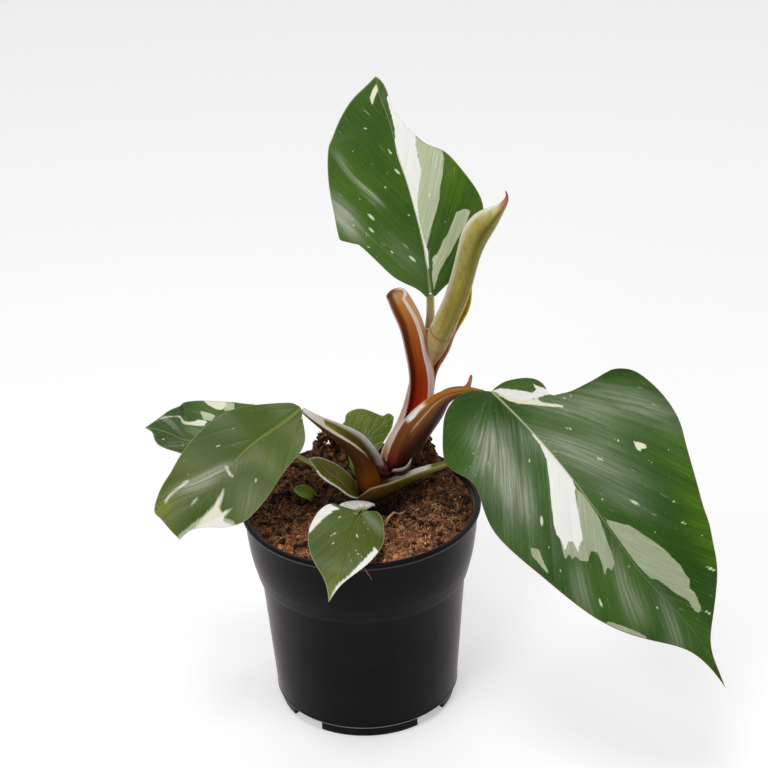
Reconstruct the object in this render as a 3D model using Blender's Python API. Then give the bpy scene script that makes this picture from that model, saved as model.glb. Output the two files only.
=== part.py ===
"""Potted white-marbled philodendron: nursery pot, soil, crown, leaf stalks, blades and a rolled new leaf.

Written for Blender 4.5.  The model is in metres with +Z up.  Every length below is in millimetres,
measured from the pot's axis and from the underside of its foot ring, with -Y towards the front.
The empty "plant_root" carries every piece and centres the part's footprint on the origin.
"""
import math

import bmesh
import bpy
import numpy as np
from mathutils import Vector, noise

MM = 0.001
GAP = 0.4

# Pot
POT_HEIGHT = 111.5
RIM_RADIUS = 60.0
BAND_HEIGHT = 27.0
BAND_FOOT_RADIUS = 56.6
NECK_RADIUS = 52.4
BASE_RADIUS = 46.9
FOOT_RADIUS = 45.2
FOOT_HEIGHT = 6.0
FOOT_WIDTH = 3.4
WALL = 1.6
LIP_DROP = 2.6
LIP_OUT = 1.4
ROUND_STEPS = 40
NOTCH_COUNT = 4
NOTCH_WIDTH = 19.5
NOTCH_ANGLE = -44.0
DRAIN_COUNT = 6
DRAIN_RADIUS = 4.0
DRAIN_CIRCLE = 32.0
DRAIN_STEPS = 12

# Soil
SOIL_EDGE_HEIGHT = 107.0
SOIL_DOME = 6.0
SOIL_BACK_RISE = 10.4
SOIL_LUMP = 1.6
SOIL_LUMP_SIZE = 9.0
SOIL_LUMP_SEED = 0.37
HOLLOWS = [(5.0, 9.0, 21.0, 9.0), (-29.0, 7.0, 10.0, 5.5)]
SOIL_RINGS = 8
CROWN_HOLE_RADIUS = 8.4
SHOOT_HOLE_RADIUS = 3.6
STEM_HOLE_STEPS = 20

# Crown: the short stem that every leaf stalk grows from
CROWN_ROUTE = [(9.5, 17.3, 89, 7.0), (9.5, 17.3, 108, 7.3), (10.8, 17.4, 117, 7.4), (13.6, 18.6, 126.1, 6.3)]

# Blades
BLADE_THICKNESS = 0.8
VEIN_SWEEP = 1.8
RAY_BOW = 0.08
RIB_BAND = 0.07

# Colours and roughness of the materials
COLOURS = {
    "black_plastic": ((0.012, 0.012, 0.013), 0.45),
    "soil": ((0.075, 0.036, 0.018), 0.95),
    "leaf_green": ((0.035, 0.105, 0.022), 0.32),
    "young_green": ((0.16, 0.30, 0.05), 0.35),
    "pale_yellow": ((0.50, 0.47, 0.20), 0.35),
    "red_sheath": ((0.33, 0.045, 0.018), 0.35),
    "pink_stalk": ((0.62, 0.33, 0.24), 0.40),
    "brown_stalk": ((0.22, 0.085, 0.028), 0.38),
    "white_stalk": ((0.78, 0.72, 0.62), 0.40),
    "crown_bark": ((0.06, 0.022, 0.014), 0.60),
}


def smooth_curve(points, count):
    """Read count points evenly along a natural cubic spline through the given points."""
    knots = np.array(points, dtype=float)
    chords = np.linalg.norm(np.diff(knots, axis=0), axis=1)
    station = np.concatenate([[0.0], np.cumsum(chords)])
    last = len(knots) - 1
    system = np.eye(last + 1)
    slopes = np.zeros_like(knots)
    for i in range(1, last):
        system[i, i - 1:i + 2] = chords[i - 1], 2 * (chords[i - 1] + chords[i]), chords[i]
        rise_after = (knots[i + 1] - knots[i]) / chords[i]
        rise_before = (knots[i] - knots[i - 1]) / chords[i - 1]
        slopes[i] = 6 * (rise_after - rise_before)
    bends = np.linalg.solve(system, slopes)
    where = np.linspace(0.0, station[-1], count)
    cell = np.clip(np.searchsorted(station, where, side="right") - 1, 0, last - 1)
    width = chords[cell][:, None]
    near = (station[cell + 1] - where)[:, None]
    far = (where - station[cell])[:, None]
    cubic = (bends[cell] * near**3 + bends[cell + 1] * far**3) / (6 * width)
    start = (knots[cell] / width - bends[cell] * width / 6) * near
    end = (knots[cell + 1] / width - bends[cell + 1] * width / 6) * far
    return cubic + start + end


def unit(vectors):
    """Scale each row to length 1."""
    return vectors / np.linalg.norm(vectors, axis=-1, keepdims=True)


def frames_along(route, facing, count):
    """Points, tangents, normals, right-hand sides and last values along a route with the given facing."""
    curve = smooth_curve(route, count)
    points = curve[:, :3]
    tangents = unit(np.gradient(points, axis=0))
    share = np.linspace(0.0, 1.0, count)[:, None]
    looks = (1 - share) * np.array(facing[0], float) + share * np.array(facing[1], float)
    normals = unit(looks - np.sum(looks * tangents, axis=1, keepdims=True) * tangents)
    return points, tangents, normals, np.cross(tangents, normals), curve[:, -1]


def make_material(name):
    """One Principled material with the colour and roughness listed for it."""
    colour, roughness = COLOURS[name]
    material = bpy.data.materials.new(name)
    material.use_nodes = True
    shader = material.node_tree.nodes["Principled BSDF"]
    shader.inputs["Base Color"].default_value = (*colour, 1.0)
    shader.inputs["Roughness"].default_value = roughness
    shader.inputs["Metallic"].default_value = 0.0
    return material


def add_piece(name, points, faces, material, parent, sharp_angle=50.0):
    """Turn millimetre points and faces into a smooth-shaded object under the parent."""
    mesh = bpy.data.meshes.new(name)
    mesh.from_pydata([Vector(p) * MM for p in points], [], faces)
    work = bmesh.new()
    work.from_mesh(mesh)
    bmesh.ops.triangulate(work, faces=[f for f in work.faces if len(f.verts) > 4])
    bmesh.ops.recalc_face_normals(work, faces=work.faces)
    work.to_mesh(mesh)
    work.free()
    if material is not None:
        mesh.materials.append(material)
    mesh.shade_smooth()
    mesh.set_sharp_from_angle(angle=math.radians(sharp_angle))
    piece = bpy.data.objects.new(name, mesh)
    bpy.context.scene.collection.objects.link(piece)
    piece.parent = parent
    return piece


def loft(rings):
    """Points and faces of a closed body through equal rings; a ring of one point closes to a tip."""
    points = []
    starts = []
    for ring in rings:
        starts.append(len(points))
        points.extend(ring)
    faces = []
    for low, high, ring_low, ring_high in zip(starts, starts[1:], rings, rings[1:]):
        sides = max(len(ring_low), len(ring_high))
        for i in range(sides):
            j = (i + 1) % sides
            if len(ring_low) == 1:
                faces.append((low, high + j, high + i))
            elif len(ring_high) == 1:
                faces.append((low + i, low + j, high))
            else:
                faces.append((low + i, low + j, high + j))
                faces.append((low + i, high + j, high + i))
    if len(rings[0]) > 1:
        faces.append(tuple(range(len(rings[0])))[::-1])
    if len(rings[-1]) > 1:
        faces.append(tuple(starts[-1] + i for i in range(len(rings[-1]))))
    return points, faces


def turned(profile):
    """Rings of a body of revolution through (radius, height) pairs; radius 0 is a point on the axis."""
    rings = []
    for radius, height in profile:
        if radius == 0.0:
            rings.append([(0.0, 0.0, height)])
            continue
        angles = [2 * math.pi * i / ROUND_STEPS for i in range(ROUND_STEPS)]
        rings.append([(radius * math.cos(a), radius * math.sin(a), height) for a in angles])
    return rings


def add_cutter(name, points, faces, parent):
    """A hidden guide body that a Boolean subtracts."""
    cutter = add_piece(name, points, faces, None, parent)
    cutter.hide_render = True
    cutter.display_type = "WIRE"
    return cutter


def cut(piece, cutter):
    """Subtract the cutter from the piece with a live Boolean."""
    boolean = piece.modifiers.new("cut_" + cutter.name, "BOOLEAN")
    boolean.operation = "DIFFERENCE"
    boolean.solver = "EXACT"
    boolean.object = cutter


def channel_section(half_width, groove, wing, depth, steps=5):
    """Closed U outline: groove is the share of the depth that is hollow, wing the width of its edges."""
    open_angle = math.radians(28.0) * groove
    outer = [open_angle - i * (math.pi + 2 * open_angle) / (2 * steps) for i in range(2 * steps + 1)]
    outline = [(half_width * math.cos(a), depth * half_width * math.sin(a)) for a in outer]
    edge_height = outline[0][1]
    inner_half = half_width * math.cos(open_angle) - wing
    hollow = groove * (edge_height + depth * half_width - 1.2 * wing)
    inner = [math.pi * (1 - i / steps) for i in range(steps + 1)]
    outline += [(inner_half * math.cos(b), edge_height - hollow * math.sin(b)) for b in inner]
    return outline


def stalk(name, route, grooves, facing, material, parent, wing=1.0, rings=10, depth=0.92):
    """A leaf stalk swept along a route of (x, y, z, half width) with a groove along its upper side."""
    points, _, normals, sides, widths = frames_along(route, facing, rings)
    grooves = np.interp(np.linspace(0, 1, rings), np.linspace(0, 1, len(grooves)), grooves)
    swept = []
    for i in range(rings):
        outline = channel_section(widths[i], grooves[i], min(wing, 0.35 * widths[i]), depth)
        swept.append([points[i] + x * sides[i] + y * normals[i] for x, y in outline])
    return add_piece(name, *loft(swept), material, parent)


class Blade:
    """Shape of one leaf blade: a curved midrib and an outline given in shares of the midrib's length."""

    def __init__(self, midrib, facing, right, left, bend=(0.0, 0.0), fold=(0.0, 0.0),
                 waves=(0.0, 2.0, 0.0), rib=1.2, rows=14):
        self.midrib = midrib
        self.facing = facing
        self.outlines = {1: right, -1: left}
        self.bends = {1: bend[0], -1: bend[1]}
        self.folds = {1: fold[0], -1: fold[1]}
        self.waves = waves
        self.rib = rib
        self.rows = rows

    def surface(self, along, across, edge_share, row_share):
        """Point at flat coordinates: distance along the midrib and signed distance across it."""
        side = 1 if across >= 0 else -1
        place = min(max(along, 0.0), self.length)
        row = [np.interp(place, self.stations, axis) for axis in self.frame_rows]
        point, tangent, normal, right = (np.array(row[i:i + 3]) for i in (0, 3, 6, 9))
        fold = math.radians(self.folds[side])
        curl = math.radians(self.bends[side]) / (0.5 * self.length)
        reach = abs(across)
        if abs(curl) < 1e-6:
            out = reach * math.cos(fold)
            lift = reach * math.sin(fold)
        else:
            out = (math.sin(fold + curl * reach) - math.sin(fold)) / curl
            lift = (math.cos(fold) - math.cos(fold + curl * reach)) / curl
        height, count, phase = self.waves
        turn = 2 * math.pi * (count * row_share + phase + 0.25 * side)
        lift += height * edge_share**2 * math.sin(math.pi * row_share) * math.sin(turn)
        return point + (along - place) * tangent + side * out * right + lift * normal

    def rows_of_points(self, columns):
        """The mid-surface: one row from left edge to right edge for each side vein, then the tip."""
        fine = 120
        points, tangents, normals, sides, _ = frames_along(self.midrib, self.facing, fine)
        steps = np.linalg.norm(np.diff(points, axis=0), axis=1)
        self.stations = np.concatenate([[0.0], np.cumsum(steps)])
        self.length = self.stations[-1]
        self.frame_rows = np.concatenate([points, tangents, normals, sides], axis=1).T
        edges = {side: smooth_curve(line, self.rows + 1) for side, line in self.outlines.items()}
        grid = []
        for j in range(self.rows):
            share = j / self.rows
            start = self.length * share**VEIN_SWEEP
            row = []
            for side, order in ((-1, columns[::-1]), (1, columns[1:])):
                end_along, end_across = edges[side][j] * self.length
                for part in order:
                    sag = RAY_BOW * part * (1 - part) * end_across
                    along = start + part * (end_along - start) - sag
                    across = side * part * end_across
                    row.append(self.surface(along, across, part, share))
            grid.append(row)
        tip = self.surface(self.length, 0.0, 0.0, 1.0)
        return np.array(grid), tip


def grid_triangles(rows, width, tip):
    """Triangles over a grid of rows, closed to one tip point."""
    triangles = []
    for j in range(rows - 1):
        for k in range(width - 1):
            a = j * width + k
            triangles.append((a, a + 1, a + width + 1))
            triangles.append((a, a + width + 1, a + width))
    last = (rows - 1) * width
    triangles += [(last + k, last + k + 1, tip) for k in range(width - 1)]
    return triangles


def add_blade(name, blade, material, parent, columns=(0.0, RIB_BAND, 0.36, 0.70, 1.0)):
    """A closed blade: its mid-surface thickened both ways, with a rib under the midrib."""
    grid, tip = blade.rows_of_points(list(columns))
    rows, width, _ = grid.shape
    middle = np.concatenate([grid.reshape(-1, 3), [tip]])
    tip_index = rows * width
    triangles = grid_triangles(rows, width, tip_index)
    normals = np.zeros_like(middle)
    for triangle in triangles:
        a, b, c = middle[list(triangle)]
        normals[list(triangle)] += np.cross(b - a, c - a)
    normals = unit(normals)
    top = middle + normals * BLADE_THICKNESS / 2
    depth = np.full(len(middle), BLADE_THICKNESS / 2)
    for j in range(rows):
        depth[j * width + width // 2] += blade.rib * (1 - j / rows)
    bottom = middle - normals * depth[:, None]
    count = len(middle)
    rim = [j * width for j in range(rows)] + [tip_index]
    rim += [j * width + width - 1 for j in reversed(range(rows))]
    rim += list(range(width - 2, 0, -1))
    faces = triangles + [(c + count, b + count, a + count) for a, b, c in triangles]
    for a, b in zip(rim, rim[1:] + rim[:1]):
        faces.append((a, b, b + count))
        faces.append((a, b + count, a + count))
    return add_piece(name, np.concatenate([top, bottom]), faces, material, parent, sharp_angle=60.0)


def pot_profile():
    """Outer and inner (radius, height) pairs of the pot, from the middle of its underside round to its floor."""
    band_foot = POT_HEIGHT - BAND_HEIGHT
    lip_foot = POT_HEIGHT - LIP_DROP
    foot_inner = FOOT_RADIUS - FOOT_WIDTH
    floor = FOOT_HEIGHT + WALL
    return [
        (0.0, FOOT_HEIGHT), (foot_inner, FOOT_HEIGHT), (foot_inner, 0.0), (FOOT_RADIUS, 0.0),
        (FOOT_RADIUS, FOOT_HEIGHT - 0.6), (BASE_RADIUS - 0.5, FOOT_HEIGHT), (BASE_RADIUS, FOOT_HEIGHT + 0.7),
        (NECK_RADIUS, band_foot - 2.0), (NECK_RADIUS + 1.0, band_foot - 0.8),
        (BAND_FOOT_RADIUS - 0.8, band_foot + 0.2), (BAND_FOOT_RADIUS, band_foot + 1.2),
        (RIM_RADIUS - LIP_OUT, lip_foot), (RIM_RADIUS, lip_foot + 0.8), (RIM_RADIUS, POT_HEIGHT - 0.5),
        (RIM_RADIUS - 0.5, POT_HEIGHT), (RIM_RADIUS - WALL - LIP_OUT, POT_HEIGHT),
        (RIM_RADIUS - WALL - LIP_OUT - 0.3, POT_HEIGHT - 1.0), (BAND_FOOT_RADIUS - WALL, band_foot + 2.6),
        (NECK_RADIUS - WALL, band_foot + 1.0), (NECK_RADIUS - WALL - 0.2, band_foot - 2.0),
        (BASE_RADIUS - WALL, floor), (0.0, floor),
    ]


def make_pot(material, parent):
    """The nursery pot with its stepped rim band, notched foot ring and drain holes."""
    pot = add_piece("pot", *loft(turned(pot_profile())), material, parent, sharp_angle=35.0)
    for i in range(NOTCH_COUNT):
        angle = math.radians(NOTCH_ANGLE + 360.0 * i / NOTCH_COUNT)
        out = Vector((math.cos(angle), math.sin(angle), 0.0))
        side = Vector((-out.y, out.x, 0.0)) * NOTCH_WIDTH / 2
        near = out * (FOOT_RADIUS - FOOT_WIDTH - 2.0)
        far = out * (FOOT_RADIUS + 3.0)
        corners = [near - side, far - side, far + side, near + side]
        rings = [[c + Vector((0, 0, z)) for c in corners] for z in (-3.0, FOOT_HEIGHT - 0.7)]
        cut(pot, add_cutter(f"notch_cutter_{i + 1}", *loft(rings), parent))
    for i in range(DRAIN_COUNT):
        angle = 2 * math.pi * (i + 0.5) / DRAIN_COUNT
        middle = Vector((DRAIN_CIRCLE * math.cos(angle), DRAIN_CIRCLE * math.sin(angle), 0.0))
        turns = [2 * math.pi * k / DRAIN_STEPS for k in range(DRAIN_STEPS)]
        circle = [middle + DRAIN_RADIUS * Vector((math.cos(t), math.sin(t), 0.0)) for t in turns]
        rings = [[c + Vector((0, 0, z)) for c in circle] for z in (FOOT_HEIGHT - 2, FOOT_HEIGHT + WALL + 2)]
        cut(pot, add_cutter(f"drain_cutter_{i + 1}", *loft(rings), parent))
    return pot


def soil_height(x, y):
    """Height of the loose soil surface: domed, heaped at the back, with a hollow round each stem."""
    reach = min(math.hypot(x, y) / (RIM_RADIUS - WALL), 1.0)
    dome = SOIL_DOME * (1 - reach**2)
    back = SOIL_BACK_RISE * max(y, 0.0) / RIM_RADIUS * (1 - reach**8)
    pit = 0.0
    for middle_x, middle_y, radius, depth in HOLLOWS:
        pit += depth * math.exp(-((x - middle_x)**2 + (y - middle_y)**2) / radius**2)
    place = Vector((x / SOIL_LUMP_SIZE, y / SOIL_LUMP_SIZE, SOIL_LUMP_SEED))
    lump = SOIL_LUMP * noise.noise(place) * (1 - reach**6)
    return SOIL_EDGE_HEIGHT + dome + back - pit + lump


def make_soil(material, parent):
    """The soil that fills the pot, with a plain hole for each stem that stands in it."""
    band_foot = POT_HEIGHT - BAND_HEIGHT
    floor = FOOT_HEIGHT + WALL + GAP
    top_radius = RIM_RADIUS - WALL - LIP_OUT - 0.3 - 2 * GAP
    profile = [
        (0.0, floor), (BASE_RADIUS - WALL - GAP, floor),
        (NECK_RADIUS - WALL - 0.2 - GAP, band_foot - 1.6), (NECK_RADIUS - WALL - GAP, band_foot + 1.6),
        (BAND_FOOT_RADIUS - WALL - 2 * GAP, band_foot + 3.2), (top_radius, SOIL_EDGE_HEIGHT),
    ]
    rings = turned(profile)
    for i in range(1, SOIL_RINGS):
        radius = top_radius * (1 - i / SOIL_RINGS)
        ring = turned([(radius, 0.0)])[0]
        rings.append([(x, y, soil_height(x, y)) for x, y, _ in ring])
    rings.append([(0.0, 0.0, soil_height(0.0, 0.0))])
    soil = add_piece("soil", *loft(rings), material, parent, sharp_angle=70.0)
    holes = {
        "crown_hole_cutter": (CROWN_ROUTE[0], CROWN_HOLE_RADIUS, CROWN_ROUTE[0][2] - 2 * GAP),
        "shoot_hole_cutter": (SHOOT.midrib[0], SHOOT_HOLE_RADIUS, SHOOT.midrib[0][2] - 2 * GAP),
    }
    for name, (foot, radius, bottom) in holes.items():
        turns = [2 * math.pi * k / STEM_HOLE_STEPS for k in range(STEM_HOLE_STEPS)]
        circle = [Vector((foot[0] + radius * math.cos(t), foot[1] + radius * math.sin(t), 0)) for t in turns]
        walls = [[c + Vector((0, 0, z)) for c in circle] for z in (bottom, POT_HEIGHT + 30.0)]
        cut(soil, add_cutter(name, *loft(walls), parent))
    return soil


def make_crown(material, parent):
    """The short stem in the middle, standing in the soil."""
    points, _, normals, sides, radii = frames_along(CROWN_ROUTE, ((0, -1, 0), (0, -1, 0)), 7)
    turns = [2 * math.pi * k / 14 for k in range(14)]
    rings = []
    for point, normal, side, radius in zip(points, normals, sides, radii):
        rings.append([point + radius * (math.cos(t) * side + math.sin(t) * normal) for t in turns])
    return add_piece("crown_stem", *loft(rings), material, parent)


def rolled_leaf(name, route, facing, material, parent, rings=17, sides=12):
    """The new leaf, still rolled round itself: a spindle with the step of its overlapping edge."""
    points, _, normals, rights, widths = frames_along(route, facing, rings)
    bodies = []
    for point, normal, right, width in zip(points, normals, rights, widths):
        ring = []
        for k in range(sides + 1):
            turn = 2 * math.pi * (k - 0.5 * (k == sides)) / sides
            reach = width * (0.90 + 0.14 * k / sides)
            ring.append(point + reach * (math.cos(turn) * right + math.sin(turn) * normal))
        bodies.append(ring)
    bodies[-1] = [points[-1]]
    return add_piece(name, *loft(bodies), material, parent)


# The blades, named after where they stand.  Right and left are as seen from above, base to tip.
RIGHT_BLADE = Blade(
    midrib=[(65, -12, 178), (76, -18, 168), (95, -36, 152), (116, -62, 131), (131, -79, 114),
            (156, -98, 90), (167, -108, 70)],
    facing=((0.1, -0.6, 0.8), (0.3, -0.8, 0.5)),
    right=[(-0.03, 0.03), (-0.07, 0.08), (-0.07, 0.13), (-0.01, 0.185), (0.08, 0.23), (0.22, 0.25),
           (0.36, 0.255), (0.51, 0.22), (0.66, 0.165), (0.80, 0.09), (0.92, 0.03), (1.0, 0.0)],
    left=[(0.0, 0.02), (0.03, 0.08), (0.10, 0.12), (0.14, 0.20), (0.165, 0.29), (0.22, 0.355),
          (0.32, 0.36), (0.48, 0.295), (0.66, 0.215), (0.80, 0.11), (0.90, 0.03), (1.0, 0.0)],
    waves=(1.2, 2.5, 0.1), rib=1.8, rows=20)
LEFT_BLADE = Blade(
    midrib=[(-27, -10, 171), (-34, -14, 167), (-51, -27, 161), (-64, -36, 151), (-74, -41, 140),
            (-84, -42, 128), (-87, -41, 118)],
    facing=((0.0, -0.6, 0.8), (-0.3, -0.9, 0.3)),
    right=[(0.0, 0.02), (0.02, 0.06), (0.13, 0.14), (0.27, 0.21), (0.38, 0.25), (0.52, 0.26),
           (0.72, 0.235), (0.85, 0.21), (0.93, 0.17), (0.97, 0.07), (1.0, 0.0)],
    left=[(0.01, 0.02), (0.03, 0.05), (0.08, 0.13), (0.16, 0.19), (0.25, 0.21), (0.46, 0.25),
          (0.65, 0.26), (0.72, 0.20), (0.79, 0.13), (0.93, 0.05), (1.0, 0.0)],
    bend=(-15.0, -15.0), fold=(6.0, 6.0), rib=1.2, rows=16)
TOP_BLADE = Blade(
    midrib=[(37, 12, 220), (35, 15, 239), (31, 19, 258), (27, 24, 274), (23, 29, 287), (20, 34, 299),
            (16, 39, 310), (14, 43, 319)],
    facing=((0.05, -0.95, 0.3), (0.05, -0.95, 0.3)),
    right=[(-0.02, 0.02), (0.03, 0.08), (0.11, 0.19), (0.25, 0.28), (0.35, 0.30), (0.46, 0.27),
           (0.57, 0.22), (0.67, 0.135), (0.73, 0.08), (0.80, 0.045), (0.90, 0.03), (1.0, 0.0)],
    left=[(-0.02, 0.02), (0.03, 0.08), (0.11, 0.18), (0.22, 0.24), (0.32, 0.33), (0.36, 0.365),
          (0.50, 0.355), (0.65, 0.33), (0.80, 0.28), (0.90, 0.185), (0.96, 0.085), (1.0, 0.0)],
    bend=(-6.0, -6.0), fold=(3.0, 3.0), rib=1.4, rows=18)
FRONT_BLADE = Blade(
    midrib=[(1, -34, 127), (-4, -44, 122), (-8, -56, 116), (-12, -66, 109), (-16, -72, 100)],
    facing=((0.0, -0.6, 0.8), (-0.2, -0.9, 0.5)),
    right=[(-0.01, 0.03), (0.02, 0.13), (0.05, 0.24), (0.12, 0.335), (0.30, 0.38), (0.53, 0.34),
          (0.81, 0.15), (0.92, 0.05), (1.0, 0.0)],
    left=[(-0.02, 0.03), (-0.05, 0.08), (-0.03, 0.17), (0.08, 0.26), (0.21, 0.31), (0.47, 0.28),
           (0.69, 0.14), (0.83, 0.05), (1.0, 0.0)],
    rib=0.9, rows=12)
BACK_LEFT_BLADE = Blade(
    midrib=[(-55, 14, 155), (-68, 10, 155), (-84, 4, 153), (-95, 0, 155), (-104, -4, 159)],
    facing=((0.0, -0.5, 0.85), (0.0, -0.5, 0.85)),
    right=[(0.0, 0.03), (0.04, 0.13), (0.19, 0.18), (0.35, 0.265), (0.56, 0.30), (0.82, 0.16),
           (0.93, 0.08), (1.0, 0.0)],
    left=[(0.0, 0.03), (0.06, 0.14), (0.31, 0.27), (0.55, 0.29), (0.72, 0.23), (0.87, 0.15),
          (0.94, 0.06), (1.0, 0.0)],
    rib=0.9, rows=12)
BACK_BLADE = Blade(
    midrib=[(2.2, 20.3, 111), (-1.5, 21, 117), (0, 24.5, 122.5), (5, 31, 131), (11, 34, 136), (18, 36, 140)],
    facing=((-0.2, -0.9, 0.3), (-0.2, -0.9, 0.3)),
    right=[(0.03, 0.03), (0.20, 0.09), (0.40, 0.16), (0.60, 0.18), (0.78, 0.15), (0.90, 0.10), (1.0, 0.0)],
    left=[(0.03, 0.03), (0.20, 0.08), (0.38, 0.18), (0.56, 0.32), (0.62, 0.37), (0.70, 0.34),
          (0.80, 0.22), (0.92, 0.08), (1.0, 0.0)],
    rib=0.8, rows=11)
BRACT = Blade(
    midrib=[(-1.3, 6, 111), (-5.5, 0, 118), (-11, -4, 127), (-17, -6, 134), (-21, -6, 139), (-25, -7, 141)],
    facing=((0.4, -0.6, 0.7), (0.4, -0.6, 0.7)),
    right=[(0.0, 0.05), (0.12, 0.10), (0.30, 0.13), (0.57, 0.145), (0.76, 0.12), (0.90, 0.05), (1.0, 0.0)],
    left=[(0.0, 0.04), (0.12, 0.07), (0.32, 0.11), (0.55, 0.14), (0.74, 0.15), (0.93, 0.11), (1.0, 0.0)],
    fold=(22.0, 22.0), rib=0.9, rows=10)
SHOOT = Blade(
    midrib=[(-23, 8, 104), (-24.5, 8, 110), (-28.5, 7.2, 113.6), (-34, 6, 116)],
    facing=((0.0, -0.6, 0.8), (0.0, -0.6, 0.8)),
    right=[(0.0, 0.10), (0.20, 0.11), (0.45, 0.18), (0.65, 0.20), (0.85, 0.15), (1.0, 0.0)],
    left=[(0.0, 0.10), (0.20, 0.11), (0.45, 0.18), (0.65, 0.21), (0.85, 0.16), (1.0, 0.0)],
    fold=(20.0, 20.0), rib=0.5, rows=8)


def make_blades(materials, parent):
    """Every blade, each its own piece."""
    few = (0.0, 2 * RIB_BAND, 0.55, 1.0)
    add_blade("right_leaf_blade", RIGHT_BLADE, materials["leaf_green"], parent,
              (0.0, RIB_BAND, 0.30, 0.55, 0.80, 1.0))
    add_blade("left_leaf_blade", LEFT_BLADE, materials["leaf_green"], parent)
    add_blade("top_leaf_blade", TOP_BLADE, materials["leaf_green"], parent)
    add_blade("front_leaf_blade", FRONT_BLADE, materials["leaf_green"], parent, few)
    add_blade("back_left_leaf_blade", BACK_LEFT_BLADE, materials["leaf_green"], parent, few)
    add_blade("back_leaf_blade", BACK_BLADE, materials["young_green"], parent, few)
    add_blade("left_bract", BRACT, materials["young_green"], parent, few)
    add_blade("soil_shoot", SHOOT, materials["young_green"], parent, few)


def make_stalks(materials, parent):
    """Every leaf stalk and sheath, each its own piece."""
    stalk("right_leaf_stalk",
          [(17.8, 8.2, 125.5, 4.4), (19.8, 5.8, 134.2, 6.6), (23.7, 3.2, 144.8, 8.0), (29.4, 1, 156.9, 8.4),
           (35.3, -1.8, 165.8, 7.4), (40.8, -4.4, 172.7, 5.3), (47.6, -6.9, 176.8, 3.5), (55, -9.3, 178.2, 2.3),
           (61.3, -10.4, 177.3, 1.9)],
          [0.75, 0.7, 0.6, 0.5, 0.3], ((-0.6, 0.5, 0.5), (-0.3, 0.4, 0.9)),
          materials["brown_stalk"], parent, rings=13, depth=1.15)
    stalk("left_leaf_stalk",
          [(5, 10, 114, 6.2), (5, 8.5, 122, 6.9), (3, 6, 132, 6.9), (-1.5, 2, 143, 6.2),
           (-7.5, -1, 150.5, 5.0), (-14.5, -5, 158, 3.8), (-20.5, -8, 164.4, 2.8), (-25.6, -9.6, 169.7, 2.0)],
          [0.78, 0.75, 0.7, 0.5, 0.3], ((0.5, 0.75, 0.2), (0.5, 0.4, 0.8)),
          materials["brown_stalk"], parent, rings=12)
    stalk("top_leaf_stalk",
          [(15, 23.5, 126.5, 3.8), (20, 24.9, 136, 3.9), (25.8, 25.6, 150, 3.7), (28.6, 24.5, 162.3, 3.4),
           (31, 21, 179, 2.8), (34.5, 17, 195, 2.2), (37, 14, 209, 1.9), (37, 12.2, 218, 1.8)],
          [0.45, 0.4, 0.3, 0.2, 0.15], ((-0.8, -0.6, 0.1), (-0.1, -1, 0.1)),
          materials["pink_stalk"], parent, rings=12)
    stalk("red_sheath",
          [(18, 17, 127.5, 3.2), (22.5, 16.8, 136, 4.4), (28, 15.5, 149, 5.2), (31, 14, 162, 5.3),
           (32, 12.5, 175, 5.3), (30, 10.5, 190, 5.5), (27, 8, 205, 6.0), (23, 6, 216, 6.0),
           (20, 4, 224, 5.6)],
          [0.6, 0.8, 0.8, 0.8], ((-0.6, -0.8, 0.1), (-0.75, -0.6, 0.1)),
          materials["red_sheath"], parent, rings=13)
    stalk("front_leaf_stalk",
          [(4.5, 9, 107.5, 2.0), (1.5, 2.5, 109.2, 2.4), (-2, -9, 116.5, 6.8), (-3, -20, 123, 7.5),
           (0.2, -32.2, 127, 2.5)],
          [0.4, 0.4, 0.3, 0.2], ((0, 0.3, 1), (0, -0.3, 1)), materials["white_stalk"], parent,
          wing=0.8, depth=0.3)
    stalk("low_right_sheath",
          [(5, 4.2, 111.6, 1.8), (9, 1, 115.5, 2.6), (14, -1.8, 119.5, 3.2), (24, -3, 126, 3.2),
           (34, -4, 130.5, 2.8), (42, -4.5, 134, 2.2), (55, -6, 139, 1.0)],
          [0.7, 0.75, 0.75, 0.7, 0.4], ((0.1, 0.6, 0.8), (-0.3, 0.2, 1)),
          materials["brown_stalk"], parent, wing=0.8, rings=12)
    stalk("back_left_leaf_stalk",
          [(0.8, 15.3, 110.6, 2.0), (-6, 13, 114.8, 2.0), (-15, 11, 121, 1.8), (-24, 12, 127, 1.6),
           (-32, 13, 132, 1.5), (-42, 14, 140, 1.4), (-54.2, 14.1, 153.6, 1.4)],
          [0.3, 0.3, 0.2], ((0.3, 0, 1), (0, -0.3, 1)), materials["young_green"], parent, wing=0.7)
    stalk("bud_sheath",
          [(36.4, 17.9, 160.6, 1.5), (37, 18, 167.4, 1.7), (38.8, 17.8, 176, 1.9), (43.6, 17, 186, 2.2),
           (46.6, 16, 195.5, 2.4), (49.8, 14.5, 205, 2.4), (53, 13, 212.5, 2.0), (55, 12, 222.5, 0.8)],
          [0.8, 0.85, 0.8, 0.6], ((-0.3, -0.9, 0.3), (-0.4, -0.9, 0.3)),
          materials["red_sheath"], parent, wing=0.7)
    rolled_leaf("rolled_new_leaf",
                [(39, 8, 183.5, 2.6), (39.6, 7.5, 189.5, 3.6), (42.4, 7, 200, 4.8), (46.7, 6, 213, 5.5),
                 (50.8, 5, 226.5, 5.4), (55.9, 3, 247, 5.9), (60.8, 1.4, 260.7, 6.4), (64.1, 0.6, 265.5, 5.6),
                 (68.3, 0, 269.4, 3.2), (71.2, -0.5, 272.3, 1.7), (72.7, -1, 274.4, 1.1),
                 (73.2, -1.5, 277.1, 0.5)],
                ((-0.3, -0.9, 0.3), (-0.3, -0.9, 0.3)), materials["pale_yellow"], parent)


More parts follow.
